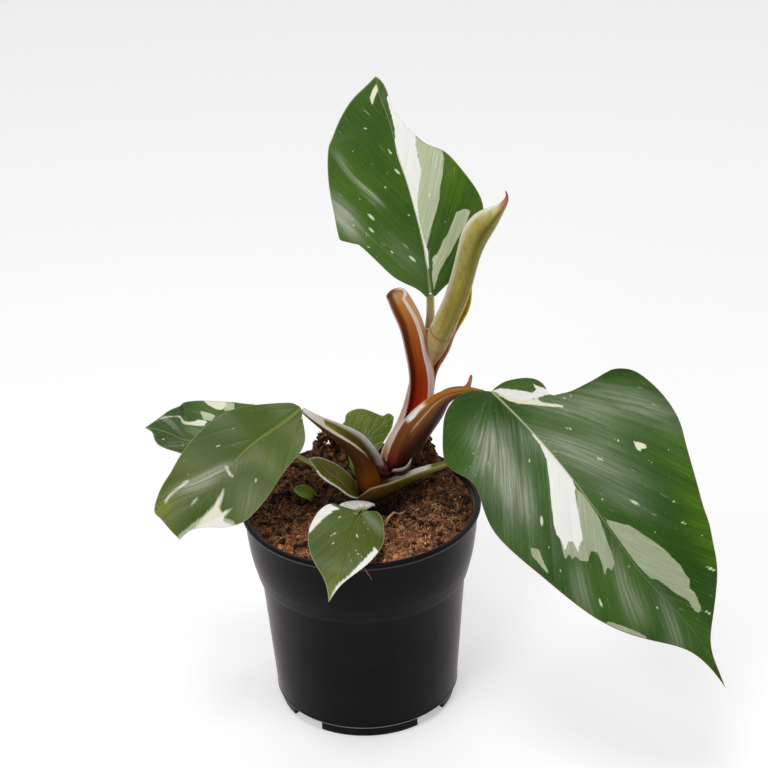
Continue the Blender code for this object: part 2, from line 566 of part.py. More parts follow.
def centre_footprint(root):
    """Move the root empty so that the footprint of all pieces is centred and stands on z = 0."""
    bpy.context.view_layer.update()
    graph = bpy.context.evaluated_depsgraph_get()
    corners = []
    for piece in root.children:
        if not piece.hide_render:
            shape = piece.evaluated_get(graph)
            corners += [shape.matrix_world @ Vector(corner) for corner in shape.bound_box]
    for axis in (0, 1):
        places = [corner[axis] for corner in corners]
        root.location[axis] -= (min(places) + max(places)) / 2
    root.location[2] -= min(corner[2] for corner in corners)


def build():
    """Make the whole plant."""
    for leftover in list(bpy.data.objects):
        bpy.data.objects.remove(leftover, do_unlink=True)
    root = bpy.data.objects.new("plant_root", None)
    bpy.context.scene.collection.objects.link(root)
    materials = {name: make_material(name) for name in COLOURS}
    make_pot(materials["black_plastic"], root)
    make_soil(materials["soil"], root)
    make_crown(materials["crown_bark"], root)
    make_stalks(materials, root)
    make_blades(materials, root)
    centre_footprint(root)


build()
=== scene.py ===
"""The dressed potted philodendron: marbled blades, sheathing stalks, rolled new leaf, loose soil and black pot.

Lengths are in millimetres from the pot's axis and the underside of its foot ring, with -Y to the front,
until a piece is made: then they are moved to the frame's axis and turned into metres.
"""
import math

import bpy
import numpy as np
from mathutils import Matrix, Vector, noise


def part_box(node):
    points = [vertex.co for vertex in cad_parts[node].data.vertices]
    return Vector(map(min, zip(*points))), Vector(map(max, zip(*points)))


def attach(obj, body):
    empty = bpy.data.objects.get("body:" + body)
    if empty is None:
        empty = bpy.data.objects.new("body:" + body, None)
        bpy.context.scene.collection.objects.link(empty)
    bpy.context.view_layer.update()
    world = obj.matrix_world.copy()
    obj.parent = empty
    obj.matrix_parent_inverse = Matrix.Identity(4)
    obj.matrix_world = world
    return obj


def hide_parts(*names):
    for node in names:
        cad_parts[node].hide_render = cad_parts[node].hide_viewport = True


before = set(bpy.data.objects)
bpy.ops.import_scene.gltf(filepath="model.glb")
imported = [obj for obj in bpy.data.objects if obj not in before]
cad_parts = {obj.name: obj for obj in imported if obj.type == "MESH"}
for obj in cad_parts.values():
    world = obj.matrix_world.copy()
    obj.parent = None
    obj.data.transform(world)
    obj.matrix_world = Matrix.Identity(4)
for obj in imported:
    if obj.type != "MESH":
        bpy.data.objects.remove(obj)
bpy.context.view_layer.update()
MM = 0.001
POT_LOW, POT_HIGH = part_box("pot")
AXIS_SHIFT = np.array([(POT_LOW.x + POT_HIGH.x) / 2, (POT_LOW.y + POT_HIGH.y) / 2, 0.0]) / MM
RANDOM = np.random.default_rng(11)

# Blade shape rules
VEIN_SWEEP = 1.8
RAY_BOW = 0.08
MIDRIB_STATIONS = 120
BLADE_THICKNESS = 0.55
VEIN_LEAN_BASE = 1.2
VEIN_LEAN_TIP = 2.3
VEIN_CURVE = 0.8
FAN_REACH = 0.25
MIDRIB_GROOVE = 0.35
SECTOR_REACH = 9

# Colours, linear
WHITE = (0.92, 0.92, 0.87)
CREAM = (0.74, 0.74, 0.57)
SAGE = (0.34, 0.39, 0.25)
PALE_SAGE = (0.48, 0.52, 0.38)
SAGE_SHEEN = (0.46, 0.5, 0.38)
GREEN = (0.04, 0.1, 0.008)
DEEP_GREEN = (0.014, 0.055, 0.003)
SHADE_GREEN = (0.014, 0.062, 0.0006)
VEIN_GREEN = (0.2, 0.27, 0.07)
PALE_VEIN = (0.46, 0.5, 0.24)
PALE_PINK = (0.8, 0.62, 0.52)

# How many of a table's whole numbers make one, column by column: outline points in shares of a blade's length,
# flecks with a size in millimetres, soft patches with a length and a width in millimetres and a strength, route
# points with a half width in millimetres, and colour stops with a place
EDGE = (1000, 1000)
FLECK = (1000, 1000, 10)
SOFT_PATCH = (1000, 1000, 10, 10, 100)
ROUTE = (10, 10, 10, 100)
STOP = (1000, 1000, 1000, 1000)


def rows(units, *numbers):
    """Rows of measures from a run of whole numbers, each column in its own unit."""
    return np.reshape(numbers, (-1, len(units))) / units


def curve_at(points, shares):
    """Points of a natural cubic spline at shares 0..1 of its chord length."""
    knots = np.array(points, dtype=float)
    chords = np.linalg.norm(np.diff(knots, axis=0), axis=1)
    station = np.concatenate([[0.0], np.cumsum(chords)])
    last = len(knots) - 1
    system = np.eye(last + 1)
    slopes = np.zeros_like(knots)
    for i in range(1, last):
        system[i, i - 1:i + 2] = chords[i - 1], 2 * (chords[i - 1] + chords[i]), chords[i]
        slopes[i] = 6 * ((knots[i + 1] - knots[i]) / chords[i] - (knots[i] - knots[i - 1]) / chords[i - 1])
    bends = np.linalg.solve(system, slopes)
    where = np.asarray(shares, float) * station[-1]
    cell = np.clip(np.searchsorted(station, where, side="right") - 1, 0, last - 1)
    width = chords[cell][:, None]
    near = (station[cell + 1] - where)[:, None]
    far = (where - station[cell])[:, None]
    cubic = (bends[cell] * near**3 + bends[cell + 1] * far**3) / (6 * width)
    start = (knots[cell] / width - bends[cell] * width / 6) * near
    end = (knots[cell + 1] / width - bends[cell + 1] * width / 6) * far
    return cubic + start + end


def unit(vectors):
    """Each row scaled to length 1."""
    return vectors / np.maximum(np.linalg.norm(vectors, axis=-1, keepdims=True), 1e-9)


def frames_along(route, facing, count):
    """Points, tangents, normals, right-hand sides and last values along a route with the given facing."""
    shares = np.linspace(0.0, 1.0, count)
    curve = curve_at(route, shares)
    points = curve[:, :3]
    tangents = unit(np.gradient(points, axis=0))
    looks = (1 - shares[:, None]) * np.array(facing[0], float) + shares[:, None] * np.array(facing[1], float)
    normals = unit(looks - np.sum(looks * tangents, axis=1, keepdims=True) * tangents)
    return points, tangents, normals, np.cross(tangents, normals), curve[:, -1]


def step(value, low, high):
    """Smooth step from 0 at low to 1 at high."""
    share = np.clip((value - low) / (high - low), 0.0, 1.0)
    return share * share * (3 - 2 * share)


def blend(first, second, weight):
    """Colours mixed by a weight for each point."""
    weight = np.asarray(weight, float)[..., None]
    return np.asarray(first, float) * (1 - weight) + np.asarray(second, float) * weight


def ramp(values, *stops):
    """Colours read from stops of a place and a colour, in thousandths."""
    table = rows(STOP, *stops)
    return np.stack([np.interp(values, table[:, 0], table[:, i]) for i in (1, 2, 3)], axis=-1)


def evenly(values, shares):
    """Values that stand evenly from 0 to 1, read at the shares."""
    return np.interp(shares, np.linspace(0, 1, len(values)), values)


def fall(value, low, high):
    """Smooth step from 1 at low to 0 at high."""
    return 1 - step(value, low, high)


def bell(value, middle, width):
    """A hump of height 1 about a middle value."""
    return np.exp(-((value - middle) / width)**2)


def store(piece, name, values):
    """Keep one number or one vector for each point of a piece."""
    values = np.asarray(values, np.float32)
    if values.ndim == 1:
        piece.data.attributes.new(name, "FLOAT", "POINT").data.foreach_set("value", values)
    else:
        piece.data.attributes.new(name, "FLOAT_VECTOR", "POINT").data.foreach_set("vector", values.ravel())


def make_mesh(name, points, faces):
    """A mesh from millimetre points about the pot's axis."""
    mesh = bpy.data.meshes.new(name)
    mesh.from_pydata(((np.asarray(points, float) + AXIS_SHIFT) * MM).tolist(), [], faces)
    mesh.update()
    return mesh


def add_piece(name, points, faces, material, replaced=(), sharp=None):
    """A smooth piece that rides on the plant's one body, and the solids whose place it takes."""
    mesh = make_mesh(name, points, faces)
    mesh.shade_smooth()
    if sharp is not None:
        mesh.set_sharp_from_angle(angle=math.radians(sharp))
    mesh.materials.append(material)
    piece = link(name, mesh)
    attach(piece, "root")
    if replaced:
        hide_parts(*replaced)
    return piece


def link(name, data):
    """A new object in the scene."""
    thing = bpy.data.objects.new(name, data)
    bpy.context.scene.collection.objects.link(thing)
    return thing


class Nodes:
    """Short calls for building a node tree."""

    def __init__(self, tree):
        self.tree = tree

    def put(self, value, socket):
        """A constant or a link into a socket."""
        if isinstance(value, bpy.types.NodeSocket):
            self.tree.links.new(value, socket)
        elif isinstance(value, tuple) and len(value) == 3 and socket.type == "RGBA":
            socket.default_value = (*value, 1.0)
        else:
            socket.default_value = value

    def add(self, kind, inputs, output=0, **settings):
        """One output of a new node with its inputs and settings."""
        node = self.tree.nodes.new("ShaderNode" + kind)
        for name, value in settings.items():
            setattr(node, name, value)
        for name, value in inputs.items():
            self.put(value, node.inputs[name])
        return node.outputs[output]

    def read(self, name, output="Vector"):
        return self.add("Attribute", {}, output, attribute_name=name)

    def math(self, operation, first, second):
        return self.add("Math", {0: first, 1: second}, operation=operation)

    def times(self, first, second):
        return self.math("MULTIPLY", first, second)

    def plus(self, first, second):
        return self.math("ADD", first, second)

    def less(self, first, second):
        return self.math("SUBTRACT", first, second)

    def step(self, value, low, high, bottom=0.0, top=1.0):
        return self.add("MapRange", {"Value": value, "From Min": low, "From Max": high, "To Min": bottom,
                                     "To Max": top}, interpolation_type="SMOOTHSTEP")

    def fall(self, value, low, high):
        return self.less(1.0, self.step(value, low, high))

    def mix(self, factor, first, second, blend_type="MIX"):
        return self.add("Mix", {0: factor, 6: first, 7: second}, 2, data_type="RGBA", blend_type=blend_type)

    def multiply(self, first, second):
        return self.mix(1.0, first, second, "MULTIPLY")

    def cover(self, base, colour, mask, strength):
        """A base colour partly covered by another where the mask is."""
        return self.mix(self.times(mask, strength), base, colour)

    def stretch(self, vector, scales):
        return self.add("VectorMath", {0: vector, 1: scales}, operation="MULTIPLY")

    def split(self, vector):
        return self.add("SeparateXYZ", {0: vector}).node.outputs

    def noise(self, vector, scale, detail=2.0, roughness=0.5):
        """Noise at one scale, or stretched by three."""
        if isinstance(scale, tuple):
            vector, scale = self.stretch(vector, scale), 1.0
        return self.add("TexNoise", {"Vector": vector, "Scale": scale, "Detail": detail, "Roughness": roughness},
                        "Fac")


class Skin(Nodes):
    """The nodes of one material."""

    def __init__(self, name, roughness, specular):
        self.material = bpy.data.materials.new(name)
        self.material.use_nodes = True
        super().__init__(self.material.node_tree)
        self.shader = self.tree.nodes["Principled BSDF"]
        self.set("Roughness", roughness)
        self.set("Specular IOR Level", specular)

    def set(self, name, value):
        self.put(value, self.shader.inputs[name])

    def position(self):
        """Place in the object in millimetres."""
        return self.stretch(self.add("TexCoord", {}, "Object"), (1 / MM,) * 3)

    def bumpy(self, height, distance):
        """Relief of a height in millimetres."""
        self.set("Normal", self.add("Bump", {"Distance": distance * MM, "Height": height}))


class Leaf:
    """One blade: a curved midrib and an outline in shares of its length, as the solid of the same name has."""

    def __init__(self, midrib, facing, right, left, bend=0.0, fold=0.0, waves=(0.0, 2.0, 0.0), sweep=VEIN_SWEEP):
        points, tangents, normals, sides, _ = frames_along(midrib, facing, MIDRIB_STATIONS)
        lengths = np.linalg.norm(np.diff(points, axis=0), axis=1)
        self.stations = np.concatenate([[0.0], np.cumsum(lengths)])
        self.length = self.stations[-1]
        self.frames = [points, tangents, normals, sides]
        self.outlines = {1: right, -1: left}
        self.bend, self.fold, self.waves, self.sweep = bend, fold, waves, sweep

    def flat(self, share, part, side):
        """Distance along and across the midrib of points a part of the way out on the side veins."""
        edge = curve_at(self.outlines[side], share) * self.length
        start = self.length * share**self.sweep
        sag = RAY_BOW * part * (1 - part) * edge[:, 1]
        return start + part * (edge[:, 0] - start) - sag, side * part * edge[:, 1]

    def surface(self, along, across, part, share, side):
        """Points of the bent blade and its upward direction there."""
        place = np.clip(along, 0.0, self.length)
        point, tangent, normal, right = (
            np.stack([np.interp(place, self.stations, column) for column in values.T], axis=-1)
            for values in self.frames)
        fold = math.radians(self.fold)
        curl = math.radians(self.bend) / (0.5 * self.length)
        reach = np.abs(across)
        if abs(curl) < 1e-6:
            out = reach * math.cos(fold)
            lift = reach * math.sin(fold)
        else:
            out = (np.sin(fold + curl * reach) - math.sin(fold)) / curl
            lift = (math.cos(fold) - np.cos(fold + curl * reach)) / curl
        height, count, phase = self.waves
        turn = 2 * math.pi * (count * share + phase + 0.25 * side)
        lift = lift + height * part**2 * np.sin(math.pi * share) * np.sin(turn)
        return point + (along - place)[:, None] * tangent + side * out[:, None] * right + lift[:, None] * normal


def vein_place(along, across):
    """Where the side vein through a place leaves the midrib, and the vein's lean there, in shares of blade length."""
    out = np.maximum(across, 1e-6) * (1 + VEIN_CURVE * across)
    start = (along - VEIN_LEAN_BASE * out) / (1 + out * (VEIN_LEAN_TIP - VEIN_LEAN_BASE))
    fan = np.arctan2(out, along) - math.atan(1 / VEIN_LEAN_BASE)
    place = np.where(start > 0, start, -FAN_REACH * fan)
    lean = np.where(start > 0, VEIN_LEAN_BASE + (VEIN_LEAN_TIP - VEIN_LEAN_BASE) * np.clip(start, 0, 1), along / out)
    return place, lean * (1 + 2 * VEIN_CURVE * across)


def inside_distance(polygons, places):
    """Signed distance of flat places to the nearest polygon edge, positive inside."""
    best = np.full(len(places), -1e3)
    for polygon in polygons:
        corners = np.array(polygon, float)
        following = np.roll(corners, -1, axis=0)
        distance = np.full(len(places), 1e9)
        crossings = np.zeros(len(places), int)
        for a, b in zip(corners, following):
            edge = b - a
            share = np.clip((places - a) @ edge / max(edge @ edge, 1e-12), 0, 1)
            distance = np.minimum(distance, np.linalg.norm(places - a - share[:, None] * edge, axis=1))
            spans = (a[1] > places[:, 1]) != (b[1] > places[:, 1])
            height = b[1] - a[1] if b[1] != a[1] else 1e-12
            crossings += spans & (places[:, 0] < a[0] + (places[:, 1] - a[1]) * edge[0] / height)
        best = np.maximum(best, np.where(crossings % 2 == 1, distance, -distance))
    return best


def blade(name, leaf, material, replaced, lines, columns, marks=None, veins=8, puff=0.3, rib=1.2,
          rib_line=(0.5, 0.15)):
    """A thin closed blade with sunken veins above and a raised midrib below, carrying its marking fields."""
    marks = marks or {}
    shares = np.arange(lines) / lines
    parts = np.linspace(0.0, 1.0, columns + 1)
    sides = [(-1, part) for part in parts[:0:-1]] + [(1, part) for part in parts]
    width = len(sides)
    grid = np.zeros((5, lines, width))
    points = np.zeros((lines, width, 3))
    for k, (side, part) in enumerate(sides):
        filled = np.full(lines, part)
        run, off = leaf.flat(shares, filled, side)
        points[:, k] = leaf.surface(run, off, filled, shares, side)
        for field, values in zip(grid, (run, off, part, shares, side)):
            field[:, k] = values
    one = np.ones(1)
    tip = leaf.surface(one * leaf.length, one * 0.0, one * 0.0, one, 1)
    middle = np.concatenate([points.reshape(-1, 3), tip])
    along, across, reach, share, side_sign = np.column_stack(
        [grid.reshape(5, -1), (leaf.length, 0.0, 0.0, 1.0, 1.0)])
    count = len(middle)
    cells = [(a, a + 1, a + width + 1, a + width)
             for j in range(lines - 1) for a in range(j * width, (j + 1) * width - 1)]
    cells += [(a, a + 1, count - 1) for a in range((lines - 1) * width, lines * width - 1)]
    normals = np.zeros_like(middle)
    corners = np.array([face[:3] for face in cells])
    first, second, third = (middle[corners[:, i]] for i in range(3))
    facing = np.cross(second - first, third - first)
    for i in range(3):
        np.add.at(normals, corners[:, i], facing)
    normals = unit(normals)
    midrib_gap = np.abs(across)
    edge_gap = midrib_gap / np.maximum(reach, 1e-6) * (1 - reach)
    vein, lean = vein_place(along / leaf.length, midrib_gap / leaf.length)
    phase = vein * veins
    vein_gap = np.abs(phase - np.round(phase)) * (leaf.length / veins) / np.hypot(1, lean)
    ridge = np.abs(np.sin(math.pi * phase))**0.8 - 0.6
    relief = puff * ridge * step(reach, 0.03, 0.35) * step(1 - reach, 0.0, 0.35) * step(share, 0.02, 0.12)
    relief -= MIDRIB_GROOVE * bell(midrib_gap, 0.0, 1.3 - 0.8 * share) * (1 - share)
    thickness = BLADE_THICKNESS * (1 - 0.3 * reach)
    keel = rib * (1 - share) * bell(midrib_gap, 0.0, 1.9 - 1.2 * share)
    top = middle + normals * (relief + thickness / 2)[:, None]
    bottom = middle + normals * (relief - thickness / 2 - keel)[:, None]
    rim = [j * width for j in range(lines)] + [count - 1]
    rim += [j * width + width - 1 for j in reversed(range(lines))] + list(range(width - 2, 0, -1))
    faces = cells + [tuple(i + count for i in reversed(face)) for face in cells]
    faces += [(a, a + count, b + count, b) for a, b in zip(rim, rim[1:] + rim[:1])]
    piece = add_piece(name, np.concatenate([top, bottom]), faces, material, replaced, sharp=60)
    places = np.stack([along, across], axis=-1) / leaf.length

    def offsets(place_along, place_across):
        """How far all points are from a place, along and across the side vein there."""
        offset = (places - (place_along, place_across)) * leaf.length
        ray = unit(np.array((vein_place(place_along, abs(place_across))[1], 1.0 if place_across > 0 else -1.0)))
        return offset @ ray, offset @ np.array((-ray[1], ray[0]))

    sectors = [np.clip(inside_distance(marks.get(kind, ()), places) * leaf.length, -SECTOR_REACH, SECTOR_REACH)
               for kind in ("white", "sage", "cream")]
    spots = np.full(count, -1.0)
    for place_along, place_across, size in marks.get("flecks", ()):
        lengthwise, crosswise = offsets(place_along, place_across)
        spots = np.maximum(spots, 1 - np.hypot(lengthwise / (0.5 * size), crosswise / (0.12 * size + 0.12)))
    # Soft patches: silvery ones partly sage and partly painted sheen, rich green ones painted shade, and warm tone
    sheen_shade_tones = np.zeros((3, count))
    for sheen_shade_tone, kind in zip(sheen_shade_tones, ("sheen_and_sage", "rich_shade", "warm")):
        for place_along, place_across, long, wide, strength in marks.get(kind, ()):
            lengthwise, crosswise = offsets(place_along, place_across)
            sheen_shade_tone += strength * np.exp(-((lengthwise / long)**2 + (crosswise / wide)**2))
    for field, values in (
            ("marks", sectors), ("lines", (midrib_gap / evenly(rib_line, share), vein_gap, edge_gap)),
            ("ray", (vein * leaf.length, midrib_gap, side_sign * 40.0)), ("sheen_shade_tone", np.clip(sheen_shade_tones, 0, 1)),
            ("flat", (along, across, share))):
        store(piece, field, np.tile(np.stack(values, axis=-1), (2, 1)))
    store(piece, "spots", np.tile(spots, 2))
    store(piece, "under", np.repeat((0.0, 1.0), count))


def leaf_material(name, green=GREEN, deep=DEEP_GREEN, vein=VEIN_GREEN, rib=VEIN_GREEN, margin=(0.2, 0.075, 0.03),
                  warm=(0.075, 0.175, 0.004), flecks=0.7, margin_width=0.3, rib_strength=0.75, streaks=0.2,
                  soft=0.0, lines=1.0, specular=0.26, sage=1.0, seed=0.0):
    """Marbled leaf skin: white, sage and cream sectors with torn ends, flecks, veins and a thin margin."""
    n = Skin(name, 0.31, specular)
    ray, flat = n.read("ray"), n.read("flat")
    white_in, sage_in, cream_in = n.split(n.read("marks"))
    sheen_and_sage, rich_shade, warmth = n.split(n.read("sheen_shade_tone"))
    rib_gap, vein_gap, edge_gap = n.split(n.read("lines"))
    broad = n.noise(flat, (0.03, 0.03, 1.0 + seed))
    streak = n.noise(ray, (0.5, 0.05, 1.0 + seed), 4.0, 0.6)
    fine = n.noise(flat, (1.1, 1.1, 1.0), 3.0, 0.6)
    base = n.mix(n.step(broad, 0.32, 0.68), deep, green)
    base = n.cover(base, vein, n.step(streak, 0.42, 0.8), streaks)
    # Painted shade: a deeper, richer green where the blade catches no reflection
    base = n.cover(base, SHADE_GREEN, rich_shade, 0.75)
    base = n.cover(base, warm, warmth, n.step(streak, 0.25, 0.6))
    base = n.cover(base, deep, n.step(fine, 0.4, 0.75), 0.3)
    # Silvery grey-green, partly sage variegation and partly painted sheen, streaked along the veins
    sheen_streak = n.noise(ray, (0.42, 0.045, 17.0 + seed), 4.0, 0.62)
    base = n.cover(base, SAGE_SHEEN, sheen_and_sage, n.plus(n.times(n.step(sheen_streak, 0.34, 0.68), 0.48), 0.2))
    vein_line = n.fall(vein_gap, 0.05, 0.65)
    base = n.cover(base, vein, vein_line, 0.05)
    torn = n.less(n.noise(ray, (0.9, 0.05, 2.0 + seed), 3.0), 0.5)
    frayed = n.less(n.noise(ray, (2.2, 0.12, 4.0 + seed)), 0.5)
    tear = n.plus(n.times(torn, 1.3 + 1.5 * soft), n.times(frayed, 0.9 + 1.5 * soft))

    def sector(field, low, high):
        """Where a sector is, with its torn ends."""
        return n.step(n.plus(field, tear), low - soft, high + soft)

    sage_tone = n.mix(n.step(n.noise(ray, (0.9, 0.1, 7.0), 4.0, 0.6), 0.35, 0.75), SAGE, PALE_SAGE)
    sage_tone = n.multiply(sage_tone, (sage, sage, 0.95 * sage))
    sage_specks = n.step(n.noise(ray, (1.8, 0.5, 9.0), 3.0), 0.6, 0.7)
    sage_tone = n.cover(sage_tone, (0.24, 0.31, 0.14), sage_specks, 0.4)
    base = n.mix(sector(sage_in, -0.18, 0.18), base, sage_tone)
    base = n.mix(sector(cream_in, -0.25, 0.35), base, CREAM)
    white_grain = n.step(n.noise(ray, (1.1, 0.09, 5.0), 3.0), 0.54, 0.72)
    white_tone = n.cover(WHITE, (0.66, 0.7, 0.55), white_grain, 0.35)
    white_mask = sector(white_in, -0.12, 0.16)
    base = n.mix(white_mask, base, n.multiply(white_tone, (0.87, 0.87, 0.85)))
    long_spots = n.step(n.noise(ray, (0.62, 0.2, 11.0 + seed)), flecks, flecks + 0.06)
    dots = n.step(n.noise(flat, (1.1, 1.1, 13.0 + seed)), flecks + 0.02, flecks + 0.08)
    base = n.cover(base, (0.5, 0.57, 0.33), n.math("MAXIMUM", long_spots, dots), 0.45)
    base = n.cover(base, (0.66, 0.7, 0.5), n.step(n.read("spots", "Fac"), -0.15, 0.35), 0.85)
    base = n.cover(base, rib, n.fall(rib_gap, 0.4, 1.5), rib_strength)
    base = n.cover(base, (0.1, 0.15, 0.06), n.read("under", "Fac"), 0.45)
    edge_mask = n.fall(edge_gap, margin_width * 0.5, margin_width * 1.5)
    n.set("Base Color", n.cover(base, margin, edge_mask, n.less(0.75, n.times(white_mask, 0.6))))
    grain = n.noise(flat, (2.6, 2.6, 1.0), 3.0, 0.65)
    satin_lines = n.noise(ray, (1.1, 0.04, 6.0), 3.0, 0.6)
    height = n.plus(n.times(grain, 0.2), n.times(satin_lines, 0.6 * lines))
    n.bumpy(n.plus(height, n.times(vein_line, -0.15)), 0.24)
    return n.material


def tinted_material(name, mottle, bump, specular):
    """Skin of a stalk or sheath: its stored tint with fine lengthwise streaks."""
    n = Skin(name, 0.38, specular)
    grain = n.read("grain")
    lines = n.noise(grain, (0.9, 0.06, 1.0), 4.0, 0.6)
    cloud = n.noise(grain, (0.25, 0.06, 3.0))
    tone = n.mix(n.step(lines, 0.3, 0.72), (1 - mottle,) * 3, (1.0, 1.0, 1.0))
    tone = n.multiply(tone, n.mix(n.step(cloud, 0.3, 0.7), (1 - mottle * 0.6,) * 3, (1.0, 1.0, 1.0)))
    n.set("Base Color", n.multiply(n.read("tint"), tone))
    n.bumpy(lines, bump)
    return n.material


# The stage: floor, light and camera
CAMERA_DISTANCE = 1000.0
CAMERA_PITCH = 27.95
CAMERA_ROLL = -1.83
CAMERA_TARGET = (13.4, 0.0, 177.5)
FRAME_SIZE = 768
FOCAL = 2061.0
SENSOR = 36.0
FLOOR_HALF = 14.0
FLOOR_TONE = (0.62, 0.62, 0.62)
FLOOR_GLOW = 0.42
ROOM_FRONT = 0.08
ROOM_BACK = 1.12
# Name, place, target, size and power of each light, in metres and watts
LIGHTS = [("overhead", (-0.1, -0.3, 1.3), (0.02, -0.02, 0.12), 0.42, 6.0),
          ("left", (-0.55, -0.95, 1.0), (0.0, 0.0, 0.15), 0.52, 7.2),
          ("right", (0.95, -0.85, 0.8), (0.0, 0.0, 0.15), 0.7, 1.8)]

# Channels of the stalks
EDGE_TURN = 28.0
WING_SHARE = 0.35


def make_camera():
    """The camera at the photograph's viewing angle."""
    pitch, roll = math.radians(CAMERA_PITCH), math.radians(CAMERA_ROLL)
    forward = Vector((0.0, math.cos(pitch), -math.sin(pitch)))
    level = Vector((1.0, 0.0, 0.0))
    upright = level.cross(forward)
    right = math.cos(roll) * level + math.sin(roll) * upright
    up = -math.sin(roll) * level + math.cos(roll) * upright
    target = Vector(CAMERA_TARGET) + Vector(AXIS_SHIFT)
    place = (target - CAMERA_DISTANCE * forward) * MM
    data = bpy.data.cameras.new("camera")
    data.sensor_width = SENSOR
    data.lens = FOCAL / FRAME_SIZE * SENSOR
    camera = link("camera", data)
    camera.matrix_world = Matrix((
        (right.x, up.x, -forward.x, place.x), (right.y, up.y, -forward.y, place.y),
        (right.z, up.z, -forward.z, place.z), (0.0, 0.0, 0.0, 1.0)))
    bpy.context.scene.camera = camera


def add_light(name, place, target, size, power):
    """A square soft light aimed at a point."""
    data = bpy.data.lights.new(name, "AREA")
    data.size = size
    data.energy = power
    light = link(name, data)
    light.location = place
    light.rotation_euler = (Vector(target) - Vector(place)).to_track_quat("-Z", "Y").to_euler()


def make_stage():
    """Pale floor, white surroundings that darken towards the front, and three soft lights."""
    n = Skin("pale_floor", 0.6, 0.3)
    n.set("Base Color", FLOOR_TONE)
    n.set("Emission Color", (1.0, 1.0, 1.0))
    n.set("Emission Strength", FLOOR_GLOW)
    mesh = bpy.data.meshes.new("floor")
    mesh.from_pydata([(x * FLOOR_HALF, y * FLOOR_HALF, 0) for x, y in ((-1, -1), (1, -1), (1, 1), (-1, 1))], [],
                     [(0, 1, 2, 3)])
    mesh.materials.append(n.material)
    floor = link("floor", mesh)
    world = bpy.data.worlds.new("world")
    world.use_nodes = True
    n = Nodes(world.node_tree)
    background = n.tree.nodes["Background"].inputs
    depth = n.split(n.add("TexCoord", {}, "Generated"))[1]
    n.put(n.step(depth, -0.25, 0.55, ROOM_FRONT, ROOM_BACK), background["Strength"])
    n.put((0.98, 0.99, 1.0), background["Color"])
    bpy.context.scene.world = world
    for light in LIGHTS:
        add_light(*light)
    bpy.context.scene.view_settings.view_transform = "Standard"


def channel_section(half_width, groove, wing, depth, steps, creases):
    """Closed U outline, its place across from one edge to the other, and which points are inside the groove."""
    open_angle = math.radians(EDGE_TURN) * groove
    run = np.linspace(0, 1, 2 * steps + 1)
    outer = open_angle - run * (math.pi + 2 * open_angle)
    edge_height = depth * half_width * math.sin(open_angle)
    inner_half = half_width * math.cos(open_angle) - wing
    hollow = groove * (edge_height + depth * half_width - 1.2 * wing)
    bow = math.pi * (1 - np.linspace(0, 1, steps + 1))
    crest = (inner_half + wing * 0.55, edge_height + 0.28 * wing)
    outline = []
    for a, place in zip(outer, run):
        pull = 1 - sum(deep / half_width * math.exp(-((place - at) / wide)**2) for at, deep, wide in creases)
        outline.append((pull * half_width * math.cos(a), pull * depth * half_width * math.sin(a)))
    outline += [(-crest[0], crest[1])]
    outline += [(inner_half * math.cos(b), edge_height - hollow * math.sin(b)) for b in bow]
    outline += [crest]
    around = np.concatenate([run, [1.0], np.linspace(1, 0, steps + 1), [0.0]])
    inside = np.concatenate([np.zeros(2 * steps + 1), [0.5], np.ones(steps + 1), [0.5]])
    return outline, around, inside


def ring_faces(rings, sides):
    """Side faces and end caps through equal rings."""
    faces = []
    for i in range(rings - 1):
        for j in range(sides):
            k = (j + 1) % sides
            faces.append((i * sides + j, i * sides + k, (i + 1) * sides + k, (i + 1) * sides + j))
    faces.append(tuple(range(sides))[::-1])
    faces.append(tuple((rings - 1) * sides + i for i in range(sides)))
    return faces


def stalk(name, route, grooves, facing, tint, material, replaced=(), wing=(1.0,), depth=(0.92,), rings=90,
          steps=14, creases=()):
    """A grooved stalk whose tint is given by a rule of place along, place across and inside or outside."""
    points, _, normals, sides, widths = frames_along(route, facing, rings)
    shares = np.linspace(0, 1, rings)
    lengths = np.concatenate([[0.0], np.cumsum(np.linalg.norm(np.diff(points, axis=0), axis=1))])
    body, fields = [], []
    for i, (share, groove, thick, deep) in enumerate(
            zip(shares, evenly(grooves, shares), evenly(wing, shares), evenly(depth, shares))):
        outline, around, inside = channel_section(
            widths[i], groove, min(thick, WING_SHARE * widths[i]), deep, steps, creases)
        body += [points[i] + x * sides[i] + y * normals[i] for x, y in outline]
        fields += [(share, place, inner, lengths[i]) for place, inner in zip(around, inside)]
    piece = add_piece(name, body, ring_faces(rings, len(outline)), material, replaced, sharp=70)
    along, across, inner, run = np.array(fields).T
    store(piece, "tint", tint(along, across, inner))
    store(piece, "grain", np.stack([across * widths.mean() * 3.0 + inner * 50, run, along * 0], axis=-1))


make_camera()
make_stage()

# Blades
RIGHT_LEAF = Leaf(
    [(65, -12, 178), (76, -18, 168), (95, -36, 152), (116, -62, 131), (131, -79, 114), (156, -98, 90),
     (167, -108, 70)],
    ((0.1, -0.6, 0.8), (0.3, -0.8, 0.5)),
    rows(EDGE, -20, 20, -42, 45, -56, 75, -57, 107, -45, 147, -18, 184, 20, 224, 49, 240, 86, 239, 131, 228, 170, 224,
         220, 236, 280, 256, 330, 264, 395, 257, 517, 222, 617, 187, 700, 149, 783, 98, 861, 45, 938, 14, 1000, 0),
    rows(EDGE, 0, 15, 5, 40, 20, 70, 42, 100, 67, 118, 90, 118, 108, 112, 125, 134, 140, 174, 147, 220, 151, 260, 155,
         297, 168, 325, 184, 343, 217, 356, 259, 361, 302, 358, 347, 346, 390, 325, 484, 284, 590, 250, 648, 235, 700,
         209, 750, 174, 794, 123, 843, 57, 875, 24, 910, 8, 950, 3, 1000, 0),
    waves=(1.2, 2.5, 0.1), sweep=1.35)
